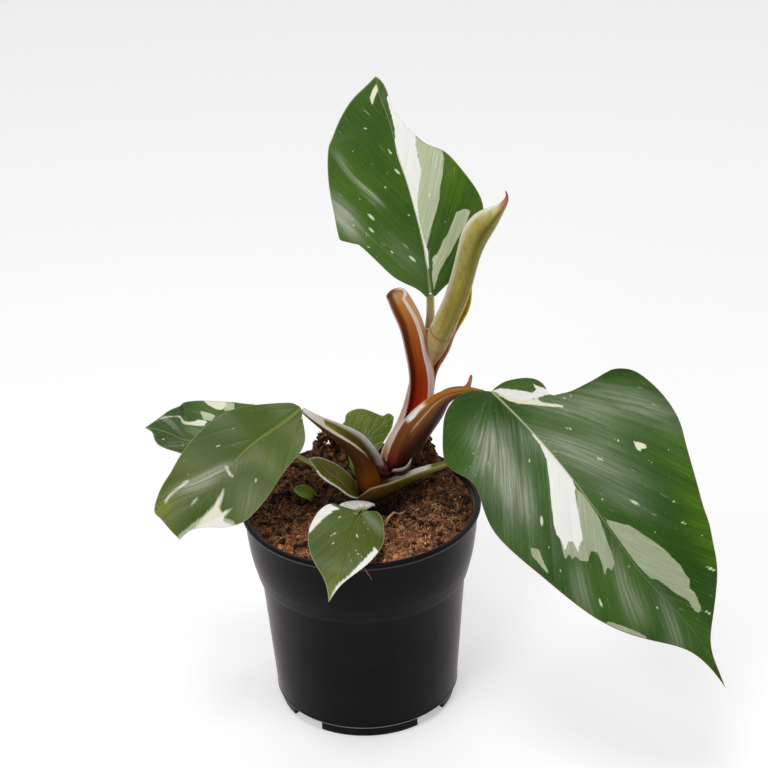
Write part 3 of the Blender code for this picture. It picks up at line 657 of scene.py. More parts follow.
LEFT_LEAF = Leaf(
    [(-27, -10, 171), (-34, -14, 167), (-51, -27, 161), (-64, -36, 151), (-74, -41, 140), (-84, -42, 128),
     (-87, -41, 118)],
    ((0.0, -0.6, 0.8), (-0.3, -0.9, 0.3)),
    rows(EDGE, 0, 15, 15, 50, 37, 73, 108, 125, 202, 177, 290, 214, 366, 231, 470, 243, 609, 243, 755, 223, 836, 205,
         880, 188, 907, 175, 918, 162, 923, 140, 952, 76, 1000, 0),
    rows(EDGE, 10, 20, 35, 54, 65, 109, 96, 151, 158, 190, 225, 208, 309, 226, 400, 245, 465, 256, 590, 256, 665, 238,
         712, 205, 750, 167, 790, 125, 855, 78, 942, 28, 1000, 0),
    bend=-15.0, fold=6.0)
TOP_LEAF = Leaf(
    [(37, 12, 220), (35, 15, 239), (31, 19, 258), (27, 24, 274), (23, 29, 287), (20, 34, 299), (16, 39, 310),
     (14, 43, 319)],
    ((0.05, -0.95, 0.3), (0.05, -0.95, 0.3)),
    rows(EDGE, -20, 20, 30, 80, 110, 190, 250, 280, 339, 300, 455, 270, 539, 229, 599, 192, 640, 145, 700, 100, 750,
         68, 800, 45, 850, 34, 910, 36, 955, 30, 985, 15, 1000, 0),
    rows(EDGE, -20, 20, 18, 50, 50, 93, 90, 146, 181, 209, 269, 258, 306, 283, 330, 322, 346, 354, 362, 356, 458, 350,
         605, 334, 698, 306, 780, 278, 840, 240, 891, 180, 939, 102, 970, 45, 1000, 0),
    bend=-6.0, fold=3.0)
FRONT_LEAF = Leaf(
    [(1, -34, 127), (-4, -44, 122), (-8, -56, 116), (-12, -66, 109), (-16, -72, 100)],
    ((0.0, -0.6, 0.8), (-0.2, -0.9, 0.5)),
    rows(EDGE, 75, 20, 63, 87, 55, 169, 54, 268, 85, 320, 138, 356, 257, 388, 372, 390, 495, 356, 623, 291, 720, 203,
         804, 117, 902, 46, 1000, 0),
    rows(EDGE, 75, 20, -10, 60, -45, 120, -20, 190, 80, 260, 210, 310, 470, 280, 690, 140, 830, 50, 1000, 0))
BACK_LEFT_LEAF = Leaf(
    [(-56, 14, 146.5), (-66, 11.5, 145.5), (-76, 9, 145), (-84.7, 6, 146.2), (-92.3, 2, 152.4), (-99.8, -2, 157.7),
     (-103.6, -4, 159.8)],
    ((0.0, -0.5, 0.85), (0.0, -0.5, 0.85)),
    rows(EDGE, 0, 30, -90, 80, -170, 150, -170, 210, -80, 265, 30, 315, 150, 355, 284, 395, 388, 417, 514, 403, 620,
         340, 732, 252, 835, 142, 955, 36, 1000, 0),
    rows(EDGE, 0, 30, 40, 120, 190, 170, 350, 175, 537, 164, 640, 150, 730, 164, 840, 168, 885, 155, 921, 109, 938,
         34, 975, 12, 1000, 0))
BACK_LEAF = Leaf(
    [(2.2, 20.3, 111), (-1.5, 21, 117), (0, 24.5, 122.3), (5, 31, 130.5), (11, 34, 135.3), (18, 36, 139.3)],
    ((-0.2, -0.9, 0.3), (-0.2, -0.9, 0.3)),
    rows(EDGE, 30, 30, 200, 90, 400, 160, 600, 180, 780, 150, 900, 100, 1000, 0),
    rows(EDGE, 30, 30, 200, 80, 380, 190, 530, 330, 575, 365, 600, 355, 630, 385, 700, 370, 800, 250, 870, 120, 910,
         80, 950, 80, 985, 50, 1000, 0))
BRACT = Leaf(
    [(-1.3, 6, 111), (-5.5, 0, 118), (-11, -4, 127), (-17, -6, 134), (-21, -6, 139), (-25, -7, 141)],
    ((0.4, -0.6, 0.7), (0.4, -0.6, 0.7)),
    rows(EDGE, 0, 50, 120, 100, 300, 130, 570, 145, 760, 120, 900, 50, 1000, 0),
    rows(EDGE, 0, 40, 120, 70, 320, 110, 550, 140, 740, 150, 930, 110, 1000, 0),
    fold=22.0)
SHOOT = Leaf(
    [(-23, 8, 104), (-24.5, 8, 110), (-28.5, 7.2, 113.6), (-34, 6, 116)],
    ((0.0, -0.6, 0.8), (0.0, -0.6, 0.8)),
    rows(EDGE, 0, 100, 200, 110, 450, 180, 650, 200, 850, 150, 1000, 0),
    rows(EDGE, 0, 100, 200, 110, 450, 180, 650, 210, 850, 160, 1000, 0),
    fold=20.0)

# Markings of each blade: outlines of its white, sage and cream sectors, light flecks, and soft patches: silvery
# grey-green ones that are partly sage variegation and partly painted sheen, rich green ones that are painted shade
# where the blade catches no reflection, and warm tone ones. Places are along and across the midrib, and a sector
# that meets the margin is drawn past it.
RIGHT_MARKS = {
    "white": [
        rows(EDGE, 136, 0, 164, 6, 193, 8, 213, 14, 238, 22, 256, 33, 293, 55, 328, 77, 358, 94, 405, 120, 432, 129,
            446, 127, 462, 130, 484, 137, 464, 113, 469, 103, 479, 103, 502, 108, 484, 90, 481, 78, 443, 60, 395, 38,
            357, 17, 351, 9, 325, 2, 248, 0, 195, 0),
        rows(EDGE, -3, 3, 10, -23, 39, -48, 57, -62, 78, -79, 80, -93, 63, -100, 78, -106, 97, -118, 111, -118, 95,
            -79, 88, -64, 72, -43, 52, -26, 28, -13, 0, -2)],
    "sage": [
        rows(EDGE, 351, 9, 377, 3, 409, 4, 454, 6, 483, 15, 512, 22, 535, 28, 573, 41, 585, 60, 571, 64, 587, 85, 563,
            72, 548, 68, 526, 64, 516, 77, 535, 100, 522, 116, 507, 119, 510, 130, 493, 131, 503, 148, 482, 142, 444,
            127, 469, 96, 403, 44),
        rows(EDGE, 461, -6, 478, -20, 508, -51, 532, -62, 570, -80, 617, -93, 652, -95, 683, -98, 706, -91, 733, -87,
            747, -70, 763, -72, 794, -60, 807, -52, 805, -43, 793, -38, 765, -45, 733, -32, 700, -30, 672, -23, 658,
            -12, 607, -7, 537, -6, 480, -4),
        rows(EDGE, 426, 208, 441, 193, 473, 199, 511, 205, 505, 210, 472, 213, 448, 217),
        rows(EDGE, 660, 180, 672, 153, 700, 133, 724, 121, 745, 112, 758, 108, 780, 120, 720, 160)],
    "cream": [
        rows(EDGE, 325, -205, 345, -226, 360, -222, 352, -208, 357, -200, 340, -198),
        rows(EDGE, 95, -79, 104, -79, 113, -82, 131, -100, 149, -119, 154, -115, 134, -90, 91, -46, 73, -28, 52, -15,
            23, -7, 0, -2, 28, -13, 52, -26, 72, -43, 88, -64)],
    "flecks": rows(FLECK, 215, 62, 26, 145, 154, 24, 89, 166, 20, 205, -85, 40, 318, -96, 50, 393, -206, 24, 463,
        -101, 60, 515, -194, 36, 414, -33, 26, 472, -270, 22, 584, -181, 42, 749, -152, 60, 601, 15, 20, 630, 138, 44,
        378, 141, 60, 114, 198, 18, 725, 31, 24, 821, -63, 44, 301, -170, 36, 560, -100, 20, 390, -270, 18, 660, -200,
        24, 520, 175, 22, 450, 165, 20, 72, 11, 14, 139, -136, 18, 144, -154, 16, 240, -210, 14, 620, -140, 18),
    "sheen_and_sage": rows(SOFT_PATCH, 60, 125, 70, 60, 60, 88, 100, 80, 60, 45, 125, 165, 90, 50, 40, 130, 130, 90, 45, 80, 165,
        125, 110, 45, 80, 210, 125, 140, 45, 70, 260, 165, 140, 50, 80, 304, 140, 140, 40, 80, 200, 175, 140, 40, 40,
        580, 155, 120, 40, 50, 630, 64, 160, 35, 60, 690, 62, 100, 40, 40, 790, 40, 180, 40, 50, 250, -50, 260, 70,
        70, 360, -94, 200, 60, 35, 130, -90, 160, 50, 50, 220, -260, 160, 60, 50, 275, -315, 160, 60, 40, 337, -310,
        140, 50, 25, 200, -170, 180, 70, 50, 440, -80, 160, 50, 40, 280, -140, 100, 50, 30),
    "rich_shade": rows(SOFT_PATCH, 447, -241, 180, 100, 90, 534, -158, 220, 130, 90, 624, -164, 200, 120, 90, 714, -151, 140, 80,
        80, 430, -130, 140, 60, 50, 780, -83, 140, 60, 60),
    "warm": rows(SOFT_PATCH, 400, -318, 140, 40, 60, 470, -280, 160, 50, 80, 560, -250, 160, 50, 90, 640, -222, 120, 50,
        90, 700, -195, 100, 40, 80, 740, -165, 80, 30, 70),
}
TOP_MARKS = {
    "white": [
        rows(EDGE, 900, 27, 794, 16, 744, 11, 706, 2, 655, -4, 600, -4, 531, -2, 450, -1, 354, 2, 234, 0, 145, -3, 97,
            3, 142, 11, 197, 15, 250, 9, 321, 8, 387, 16, 448, 31, 490, 48, 541, 74, 585, 81, 663, 85, 740, 110, 780,
            80, 830, 60, 900, 50)],
    "sage": [
        rows(EDGE, 663, 85, 700, 100, 700, 140, 650, 190, 612, 215, 604, 190, 564, 188, 542, 176, 509, 163, 465, 141,
            407, 117, 353, 89, 312, 65, 264, 37, 222, 17, 197, 9, 246, 4, 321, 6, 387, 16, 448, 31, 490, 48, 541, 74,
            585, 81),
        rows(EDGE, 330, 178, 336, 216, 319, 240, 260, 200, 213, 151, 170, 117, 143, 89, 101, 57, 63, 38, 11, 17, 87,
            17, 132, 28, 159, 27, 169, 48, 197, 73, 225, 92, 256, 125, 290, 150)],
    "cream": [
        rows(EDGE, 966, -4, 944, -26, 918, -45, 881, -47, 911, -24, 939, 0)],
    "flecks": rows(FLECK, 797, -110, 28, 664, -32, 34, 573, -27, 44, 641, -122, 16, 612, -170, 18, 407, -194, 52, 351,
        -208, 42, 173, -60, 50, 417, -279, 18, 391, -279, 18, 338, -231, 24, 273, -174, 22, 227, -143, 24, 522, -99,
        18, 370, -30, 18, 359, -162, 15, 318, -133, 15, 926, 14, 15, 547, 141, 28, 436, 81, 26, 700, -190, 14, 500,
        -220, 16, 450, -150, 14, 280, -240, 18, 300, 120, 16),
    "sheen_and_sage": rows(SOFT_PATCH, 545, -185, 80, 8, 90, 525, -170, 80, 5, 90, 500, -165, 70, 7, 80, 480, -178, 60, 6, 60, 530,
        -318, 120, 25, 80, 460, -318, 120, 30, 80, 400, -318, 90, 35, 90, 690, -250, 60, 12, 50, 630, -236, 80, 10,
        50, 200, -100, 140, 60, 20),
    "rich_shade": rows(SOFT_PATCH, 250, -100, 180, 120, 50, 700, -120, 200, 90, 40),
    "warm": rows(SOFT_PATCH, 440, 205, 140, 60, 60, 520, 200, 100, 50, 50),
}
LEFT_MARKS = {
    "white": [
        rows(EDGE, 509, 27, 500, 10, 514, -5, 524, -48, 536, -42, 526, -11, 518, 12),
        rows(EDGE, 700, -130, 760, -105, 850, -70, 920, -35, 1000, 5, 1030, -10, 950, -120, 860, -180, 760, -250, 680,
            -250, 710, -190, 720, -155)],
    "sage": [
        rows(EDGE, 600, -47, 628, -65, 689, -90, 693, -122, 647, -148, 708, -144, 690, -192, 700, -230, 760, -210,
            800, -170, 880, -120, 960, -70, 1020, 0, 998, 17, 973, 12, 903, -26, 789, -54, 715, -59, 647, -53)],
    "cream": [
        rows(EDGE, 860, 150, 824, 155, 768, 143, 697, 132, 694, 122, 766, 131, 827, 142, 857, 140),
        rows(EDGE, 785, 31, 755, 37, 724, 33, 744, 26, 774, 27),
        rows(EDGE, 610, -50, 640, -66, 692, -88, 700, -112, 665, -142, 720, -136, 800, -105, 860, -65, 800, -62, 715,
            -66, 650, -58)],
    "flecks": rows(FLECK, 456, 118, 24, 740, 201, 16, 664, 149, 11, 588, 112, 10, 349, 130, 9, 332, 194, 9, 464, -156,
        30, 33, -45, 12, 616, 208, 9, 218, 150, 9, 280, -90, 8, 400, 60, 8, 520, 180, 9),
    "sheen_and_sage": rows(SOFT_PATCH, 620, 64, 170, 30, 60, 660, 45, 140, 25, 40, 550, 40, 100, 20, 40, 600, -195, 120, 50, 25, 700,
        100, 100, 25, 50, 820, 60, 120, 40, 35),
    "warm": rows(SOFT_PATCH, 900, 150, 70, 50, 80, 860, 120, 80, 30, 40, 930, 70, 50, 40, 40),
}
BACK_LEFT_MARKS = {
    "sage": [
        rows(EDGE, 357, 295, 298, 272, 234, 226, 278, 170, 350, 201),
        rows(EDGE, 100, 360, 30, 300, 50, 240, 143, 250, 120, 300)],
    "cream": [
        rows(EDGE, 878, 87, 802, 154, 650, 222, 611, 235, 593, 221, 541, 200, 442, 200, 385, 205, 320, 184, 351, 135,
            474, 165, 598, 165, 612, 199, 656, 208, 804, 139),
        rows(EDGE, 320, 430, 301, 391, 276, 345, 215, 290, 162, 262, 120, 290, 100, 340, 150, 400, 250, 430)],
    "flecks": rows(FLECK, 825, -85, 26, 714, 70, 16, 593, -63, 14, 778, -39, 12, 446, 291, 12),
    "sheen_and_sage": rows(SOFT_PATCH, 750, 120, 90, 20, 70, 450, 100, 90, 30, 50, 700, -100, 80, 20, 50),
}
FRONT_MARKS = {
    "white": [
        rows(EDGE, 70, 360, 75, 290, 85, 200, 120, 245, 159, 262, 234, 305, 315, 343, 373, 380, 380, 420, 250, 440,
            120, 400),
        rows(EDGE, 363, -242, 416, -248, 464, -222, 558, -175, 612, -145, 708, -101, 775, -52, 831, -22, 894, -10,
            943, 0, 1010, 3, 918, -60, 845, -80, 767, -120, 682, -190, 607, -240, 496, -300, 420, -330)],
    "flecks": rows(FLECK, 156, 163, 20, 322, 148, 22, 350, 171, 16, 424, 135, 20, 286, -61, 30, 446, -93, 16, 481,
        -124, 20, 506, -164, 16, 565, -80, 16, 117, -74, 14, 169, -129, 14, 220, 50, 12),
    "sheen_and_sage": rows(SOFT_PATCH, 40, -75, 60, 16, 50, 90, -185, 50, 16, 70, 150, -215, 40, 13, 50),
    "warm": rows(SOFT_PATCH, 920, 10, 70, 50, 80, 750, 50, 70, 50, 40),
}
BRACT_MARKS = {
    "white": [
        rows(EDGE, 50, -40, 300, -85, 600, -120, 850, -120, 900, -200, 500, -250, 0, -150)],
    "warm": rows(SOFT_PATCH, 350, 80, 120, 50, 90, 600, 80, 120, 50, 90, 800, 50, 80, 40, 80),
}

marbled = leaf_material("marbled_leaf", rib=PALE_VEIN, sage=0.86)
speckled = leaf_material("speckled_leaf", green=(0.06, 0.125, 0.01), deep=(0.03, 0.08, 0.006),
                         rib=(0.34, 0.4, 0.17), flecks=0.69, margin=(0.24, 0.26, 0.1),
                         streaks=0.14, rib_strength=0.6, sage=1.12, seed=0.4)
smooth = leaf_material("smooth_leaf", green=(0.08, 0.122, 0.016), deep=(0.052, 0.094, 0.012), flecks=0.72,
                       rib=(0.16, 0.21, 0.05), margin=(0.3, 0.22, 0.14), streaks=0.06, rib_strength=0.7,
                       warm=(0.2, 0.21, 0.02), soft=0.35, lines=0.35, specular=0.16, seed=0.8)
small = leaf_material("small_leaf", green=(0.066, 0.104, 0.003), deep=(0.042, 0.078, 0.003), flecks=0.7,
                      rib=(0.13, 0.17, 0.035), margin=(0.34, 0.3, 0.16), streaks=0.06, rib_strength=0.7,
                      warm=(0.2, 0.21, 0.02), soft=0.35, lines=0.35, specular=0.18, seed=0.8)
blade("right_blade_skin", RIGHT_LEAF, marbled, ["right_leaf_blade"], 170, 56, RIGHT_MARKS,
      veins=10, rib=1.8, puff=0.22, rib_line=(0.6, 0.5, 0.28, 0.05, 0.03, 0.02))
blade("left_blade_skin", LEFT_LEAF, smooth, ["left_leaf_blade"], 110, 32, LEFT_MARKS, veins=7,
      puff=0.08, rib_line=(0.8, 1.0, 1.0, 0.8, 0.5, 0.1, 0.03, 0.03))
blade("top_blade_skin", TOP_LEAF, speckled, ["top_leaf_blade"], 130, 44, TOP_MARKS, veins=9,
      rib=1.4, puff=0.16, rib_line=(0.75, 0.35, 0.16, 0.12))
blade("front_blade_skin", FRONT_LEAF, small, ["front_leaf_blade"], 84, 28, FRONT_MARKS,
      veins=6, rib=0.9, puff=0.06, rib_line=(0.3, 0.15, 0.06, 0.06, 0.3))
blade("back_left_blade_skin", BACK_LEFT_LEAF, speckled, ["back_left_leaf_blade"], 84, 26,
      BACK_LEFT_MARKS, veins=6, puff=0.2, rib_line=(0.35, 0.25, 0.2))
young = leaf_material("young_leaf", green=(0.135, 0.19, 0.01), deep=(0.068, 0.118, 0.006), vein=(0.24, 0.32, 0.07),
                      rib=(0.24, 0.32, 0.07), margin=(0.3, 0.36, 0.14), flecks=0.635)
folded = leaf_material("folded_leaf", green=(0.12, 0.19, 0.02), deep=(0.06, 0.085, 0.012), rib=(0.3, 0.17, 0.07),
                       warm=(0.13, 0.105, 0.01), vein=(0.2, 0.26, 0.05), margin=(0.45, 0.46, 0.28), flecks=0.66,
                       margin_width=0.35)
blade("back_blade_skin", BACK_LEAF, young, ["back_leaf_blade"], 74, 24, veins=5, puff=0.12,
      rib_line=(0.3, 0.15))
blade("left_bract_skin", BRACT, folded, ["left_bract"], 70, 16, BRACT_MARKS, veins=4, puff=0.1,
      rib_line=(0.4, 0.3))
shoot = leaf_material("shoot_leaf", green=(0.17, 0.3, 0.015), deep=(0.075, 0.17, 0.008), vein=(0.26, 0.38, 0.06),
                      rib=(0.2, 0.3, 0.05), margin=(0.3, 0.4, 0.1), flecks=0.7)
blade("soil_shoot_skin", SHOOT, shoot, ["soil_shoot"], 40, 10, veins=3, puff=0.05)


# Stalks and sheaths
def edge_of(across, width):
    """How near a point is to either edge of the channel, 0 to 1."""
    return step(np.abs(across - 0.5), 0.5 - width, 0.5 - width * 0.4)


def right_stalk_tint(along, across, inner):
    """Maroon foot, orange-brown upper face with a painted white highlight, pale crease, dark underside."""
    upper = ramp(along, 0, 30, 6, 4, 100, 85, 10, 7, 170, 200, 38, 14, 240, 170, 48, 10, 400, 190, 58, 5, 620, 360,
            120, 8, 850, 440, 165, 20, 1000, 300, 180, 40)
    # Painted highlight: a white patch on the upper face
    white_highlight = step(along, 0.43, 0.48) * fall(along, 0.6, 0.65) * step(across, 0.01, 0.025)
    white_highlight *= fall(across, 0.065 + 0.02 * np.sin(40 * along), 0.095)
    upper = blend(upper, (0.95, 0.9, 0.86), 0.95 * white_highlight)
    streak = bell(across, 0.115, 0.02) * step(along, 0.4, 0.6)
    upper = blend(upper, (0.2, 0.06, 0.01), 0.6 * streak)
    lower = ramp(along, 0, 30, 6, 4, 180, 40, 6, 4, 300, 70, 18, 5, 500, 130, 42, 8, 800, 200, 70, 10, 1000, 200, 130,
            30)
    # Painted highlight: a lighter band along the underside
    lower = blend(lower, (0.25, 0.095, 0.015), 0.5 * bell(across, 0.225, 0.025) * step(along, 0.25, 0.45))
    lower = blend(lower, (0.022, 0.005, 0.002), 0.92 * step(across, 0.25, 0.37))
    outside = blend(upper, lower, step(across, 0.165, 0.195))
    crease = bell(across, 0.178, 0.012) * step(along, 0.36, 0.5) * (1 - 0.5 * step(along, 0.8, 1.0))
    outside = blend(outside, (0.72, 0.47, 0.36), 0.9 * crease)
    blush = np.exp(-((along - 0.13) / 0.05)**2 - ((across - 0.12) / 0.07)**2)
    outside = blend(outside, (0.26, 0.04, 0.026), 0.8 * blush)
    hollow = ramp(along, 0, 200, 40, 20, 250, 600, 350, 220, 420, 660, 480, 360, 550, 300, 105, 20, 850, 360, 150, 30,
            1000, 400, 160, 50)
    colour = blend(outside, hollow, inner)
    rim = edge_of(across, 0.022) * step(along, 0.06, 0.2) * fall(along, 0.55, 0.7)
    return blend(colour, PALE_PINK, 0.85 * rim)


def left_stalk_tint(along, across, inner):
    """Brown outside, olive hollow that ends in a point, white far wall and a thin pink near edge."""
    outside = ramp(along, 0, 110, 10, 8, 50, 220, 42, 8, 160, 240, 70, 4, 320, 105, 30, 2, 500, 60, 18, 2, 800, 85,
            30, 4, 1000, 200, 120, 30)
    outside = blend(outside, (0.055, 0.02, 0.007), 0.6 * bell(across, 0.62, 0.12) * (1 - inner))
    hollow = ramp(along, 0, 160, 20, 8, 160, 230, 72, 4, 340, 105, 40, 2, 460, 150, 105, 4, 600, 220, 200, 8, 720,
            340, 340, 40, 1000, 400, 380, 100)
    olive = step(along, 0.12, 0.3) * fall(across, 0.2, 0.34)
    hollow = blend(hollow, (0.19, 0.155, 0.006), 0.85 * olive)
    white = step(along, 0.7 + 0.1 * (1 - across), 0.725 + 0.1 * (1 - across))
    hollow = blend(hollow, (0.9, 0.86, 0.82), white)
    colour = blend(outside, hollow, inner)
    far = fall(across, 0.06, 0.14) * step(along, 0.02, 0.12)
    colour = blend(colour, (0.96, 0.93, 0.9), 0.95 * far)
    width = np.interp(along, [0, 0.4, 0.55, 0.7, 0.85, 1.0], [0.012, 0.014, 0.035, 0.08, 0.12, 0.16])
    near = step(across, 1 - width, 1 - 0.6 * width) * step(along, 0.34, 0.48)
    return blend(colour, blend((0.62, 0.36, 0.28), (0.85, 0.77, 0.7), step(along, 0.35, 0.7)), 0.9 * near)


def top_stalk_tint(along, across, inner):
    """White and pink below, beige-green above."""
    colour = ramp(along, 0, 300, 60, 40, 50, 550, 260, 140, 110, 800, 620, 480, 180, 860, 790, 750, 320, 830, 680,
            610, 460, 700, 460, 360, 600, 580, 450, 310, 750, 560, 460, 270, 930, 500, 440, 200, 1000, 300, 340, 100)
    stripe = np.clip(np.sin(across * 38.0 + along * 3.0), 0, 1)**3 * step(along, 0.12, 0.3)
    colour = blend(colour, (0.5, 0.16, 0.11), 0.45 * stripe * fall(along, 0.5, 0.7))
    return blend(colour, (0.86, 0.8, 0.72), 0.7 * edge_of(across, 0.1))


def red_sheath_tint(along, across, inner):
    """Red hollow paling to orange at the cut end, painted shade on its left wall, mauve right wall, salmon outer side.
    """
    hollow = ramp(along, 0, 500, 36, 4, 380, 540, 34, 3, 500, 440, 60, 7, 720, 480, 130, 20, 900, 680, 280, 55, 970,
            800, 520, 240, 1000, 500, 200, 100)
    # Painted shade: the hollow's left wall darkened
    hollow = blend(hollow, (0.13, 0.018, 0.005), 0.85 * step(across, 0.76, 0.86))
    band = blend((0.62, 0.27, 0.25), (0.86, 0.7, 0.62), step(along, 0.62, 0.95))
    hollow = blend(hollow, band, fall(across, 0.2, 0.27))
    outside = ramp(along, 0, 660, 420, 380, 250, 600, 320, 260, 500, 740, 280, 140, 800, 780, 360, 170, 1000, 780,
            420, 200)
    outside = blend(outside, (0.46, 0.11, 0.035), 0.8 * step(across, 0.26, 0.42))
    reach = np.interp(along, [0.0, 0.45, 0.7, 1.0], [0.3, 0.24, 0.1, 0.07])
    pale = blend((0.64, 0.4, 0.4), (0.88, 0.74, 0.66), step(along, 0.35, 0.75))
    outside = blend(outside, pale, fall(across, 0.6 * reach, reach))
    outside = blend(outside, (0.72, 0.44, 0.38), 0.8 * step(across, 0.8, 0.92))
    colour = blend(outside, hollow, inner)
    colour = blend(colour, (0.72, 0.44, 0.4), step(across, 0.965, 0.985))
    colour = blend(colour, (0.84, 0.7, 0.62), 0.8 * fall(across, 0.012, 0.035))
    cut = step(along, 0.991, 0.998)
    return blend(colour, blend((0.84, 0.66, 0.5), (0.2, 0.03, 0.025), step(across, 0.55, 0.75)), cut)


def bud_sheath_tint(along, across, inner):
    """Red-brown below, rose in the middle, golden above."""
    colour = ramp(along, 0, 420, 100, 18, 220, 480, 120, 22, 400, 600, 150, 110, 600, 620, 270, 190, 680, 720, 500,
            50, 1000, 860, 660, 90)
    specks = np.clip(np.sin(91 * along + 3) * np.sin(47 * across + 31 * along), 0, 1)**4
    colour = blend(colour, (0.16, 0.08, 0.015), 0.7 * specks * step(along, 0.62, 0.72))
    return blend(colour, (0.74, 0.52, 0.4), 0.5 * edge_of(across, 0.08) * fall(along, 0.6, 0.7))


def front_stalk_tint(along, across, inner):
    """White, faintly rosy, with painted shade along two folds and a brownish foot."""
    colour = ramp(along, 0, 200, 100, 40, 300, 620, 500, 420, 450, 840, 800, 770, 920, 860, 830, 800, 1000, 420, 480,
            240)
    # Painted shade: greyish lines where the ribbon folds
    fold = bell(across, 0.35, 0.03) + bell(across, 0.72, 0.02)
    return blend(colour, (0.5, 0.38, 0.33), 0.55 * np.clip(fold, 0, 1) * step(along, 0.3, 0.5))


def low_sheath_tint(along, across, inner):
    """Olive outside with a bright edge, silvery inside, painted shade deep in the fold."""
    outside = ramp(along, 0, 160, 75, 30, 150, 150, 60, 16, 350, 130, 75, 14, 550, 140, 110, 16, 800, 200, 200, 30,
            1000, 260, 300, 60)
    outside = blend(outside, (0.05, 0.026, 0.008), 0.75 * step(across, 0.2, 0.45))
    outside = outside * (0.55 + 0.45 * step(along, 0.45, 0.75))[:, None]
    # The hollow starts with painted shade deep in the fold
    hollow = ramp(along, 0, 25, 14, 10, 300, 50, 30, 20, 400, 340, 280, 210, 500, 620, 570, 490, 630, 760, 740, 680,
            660, 620, 600, 440, 690, 160, 160, 30, 1000, 220, 260, 50)
    hollow = blend(hollow, (0.18, 0.17, 0.05), 0.7 * fall(across, 0.3, 0.5))
    colour = blend(outside, hollow, inner)
    colour = blend(colour, (0.85, 0.84, 0.8), 0.9 * step(across, 0.93, 0.98) * step(along, 0.42, 0.5) *
                   fall(along, 0.66, 0.7))
    return blend(colour, (0.4, 0.34, 0.12), 0.7 * fall(across, 0.02, 0.05))


def back_left_stalk_tint(along, across, inner):
    """Yellow-green, browner towards the crown."""
    colour = ramp(along, 0, 120, 70, 20, 300, 220, 180, 30, 600, 270, 250, 35, 1000, 240, 300, 70)
    return blend(colour, (0.45, 0.42, 0.16), 0.6 * edge_of(across, 0.1))


satin = tinted_material("stalk_skin", mottle=0.25, bump=0.12, specular=0.14)
waxy = tinted_material("sheath_skin", mottle=0.22, bump=0.1, specular=0.15)
stalk("right_stalk_skin",
      rows(ROUTE, 178, 82, 1255, 440, 198, 58, 1342, 660, 237, 32, 1448, 800, 294, 10, 1569, 840, 353, -18, 1658, 740,
          408, -44, 1727, 530, 476, -69, 1768, 350, 550, -93, 1782, 230, 613, -104, 1773, 190),
      [0.75, 0.7, 0.6, 0.5, 0.3], ((-0.6, 0.5, 0.5), (-0.3, 0.4, 0.9)), right_stalk_tint, waxy,
      ["right_leaf_stalk"], depth=(1.15,), rings=130, steps=36, creases=((0.178, 0.45, 0.03),))
stalk("left_stalk_skin",
      rows(ROUTE, 74, 100, 1135, 630, 74, 85, 1220, 680, 48, 60, 1320, 680, -6, 20, 1430, 640, -70, -10, 1505, 530,
          -142, -50, 1580, 410, -204, -80, 1644, 290, -256, -96, 1697, 200),
      [0.78, 0.8, 0.8, 0.6, 0.4], ((0.98, -0.18, 0.0), (0.65, 0.0, 0.8)), left_stalk_tint, waxy,
      ["left_leaf_stalk"], rings=120, steps=26, wing=(0.9, 0.8, 0.7, 1.0),
      depth=(1.45, 1.42, 1.2, 1.05, 0.95, 0.9, 0.9))
stalk("top_stalk_skin",
      rows(ROUTE, 118, 208, 1195, 360, 146, 232, 1265, 390, 200, 249, 1360, 390, 258, 256, 1500, 370, 286, 245, 1623,
          340, 316, 210, 1790, 280, 356, 170, 1950, 230, 370, 140, 2090, 200, 370, 122, 2180, 190),
      [0.45, 0.4, 0.3, 0.2, 0.15], ((-0.8, -0.6, 0.1), (-0.1, -1, 0.1)), top_stalk_tint, satin,
      ["top_leaf_stalk"])
stalk("red_sheath_skin",
      rows(ROUTE, 145, 162, 1210, 320, 180, 170, 1275, 360, 228, 168, 1360, 480, 283, 155, 1490, 590, 313, 140, 1620,
          630, 320, 125, 1750, 640, 300, 105, 1900, 620, 273, 80, 2050, 630, 236, 60, 2156, 610, 207, 40, 2232,
          540),
      [0.6, 0.85, 0.9, 0.9], ((-0.5, -0.87, 0.1), (-0.6, -0.8, 0.1)), red_sheath_tint, waxy,
      ["red_sheath"], rings=140, steps=34, wing=(1.0, 0.8, 0.7, 0.5))
stalk("front_stalk_skin",
      rows(ROUTE, 45, 90, 1075, 200, 15, 25, 1090, 240, -10, -90, 1152, 720, -16, -200, 1209, 860, 4, -320, 1258, 300),
      [0.4, 0.5, 0.6, 0.4], ((0, -0.3, -1), (0, 0.3, -1)), front_stalk_tint, satin,
      ["front_leaf_stalk"], wing=(0.7,), depth=(0.5, 0.4, 0.24, 0.22, 0.4), rings=110, steps=24)
stalk("low_sheath_skin",
      rows(ROUTE, -20, 56, 1102, 90, 15, 40, 1126, 200, 68, 16, 1168, 340, 125, -8, 1205, 390, 230, -28, 1263, 420,
          330, -40, 1310, 340, 420, -45, 1343, 240, 550, -60, 1390, 100),
      [0.5, 0.7, 0.75, 0.7, 0.3], ((0.1, 0.12, 1.0), (0.0, 0.1, 1)), low_sheath_tint, satin,
      ["low_right_sheath"], wing=(0.8, 0.6, 0.6, 0.8), depth=(1.3, 1.75, 1.25, 0.85, 0.75, 0.8, 0.9),
      rings=120, steps=24)
stalk("back_left_stalk_skin",
      rows(ROUTE, 8, 153, 1106, 200, -60, 130, 1148, 200, -150, 110, 1210, 180, -240, 120, 1270, 160, -320, 130, 1320,
          150, -420, 140, 1400, 140, -554, 140, 1466, 130),
      [0.3, 0.3, 0.2], ((0.3, 0, 1), (0, -0.3, 1)), back_left_stalk_tint, satin,
      ["back_left_leaf_stalk"], wing=(0.7,), steps=8)
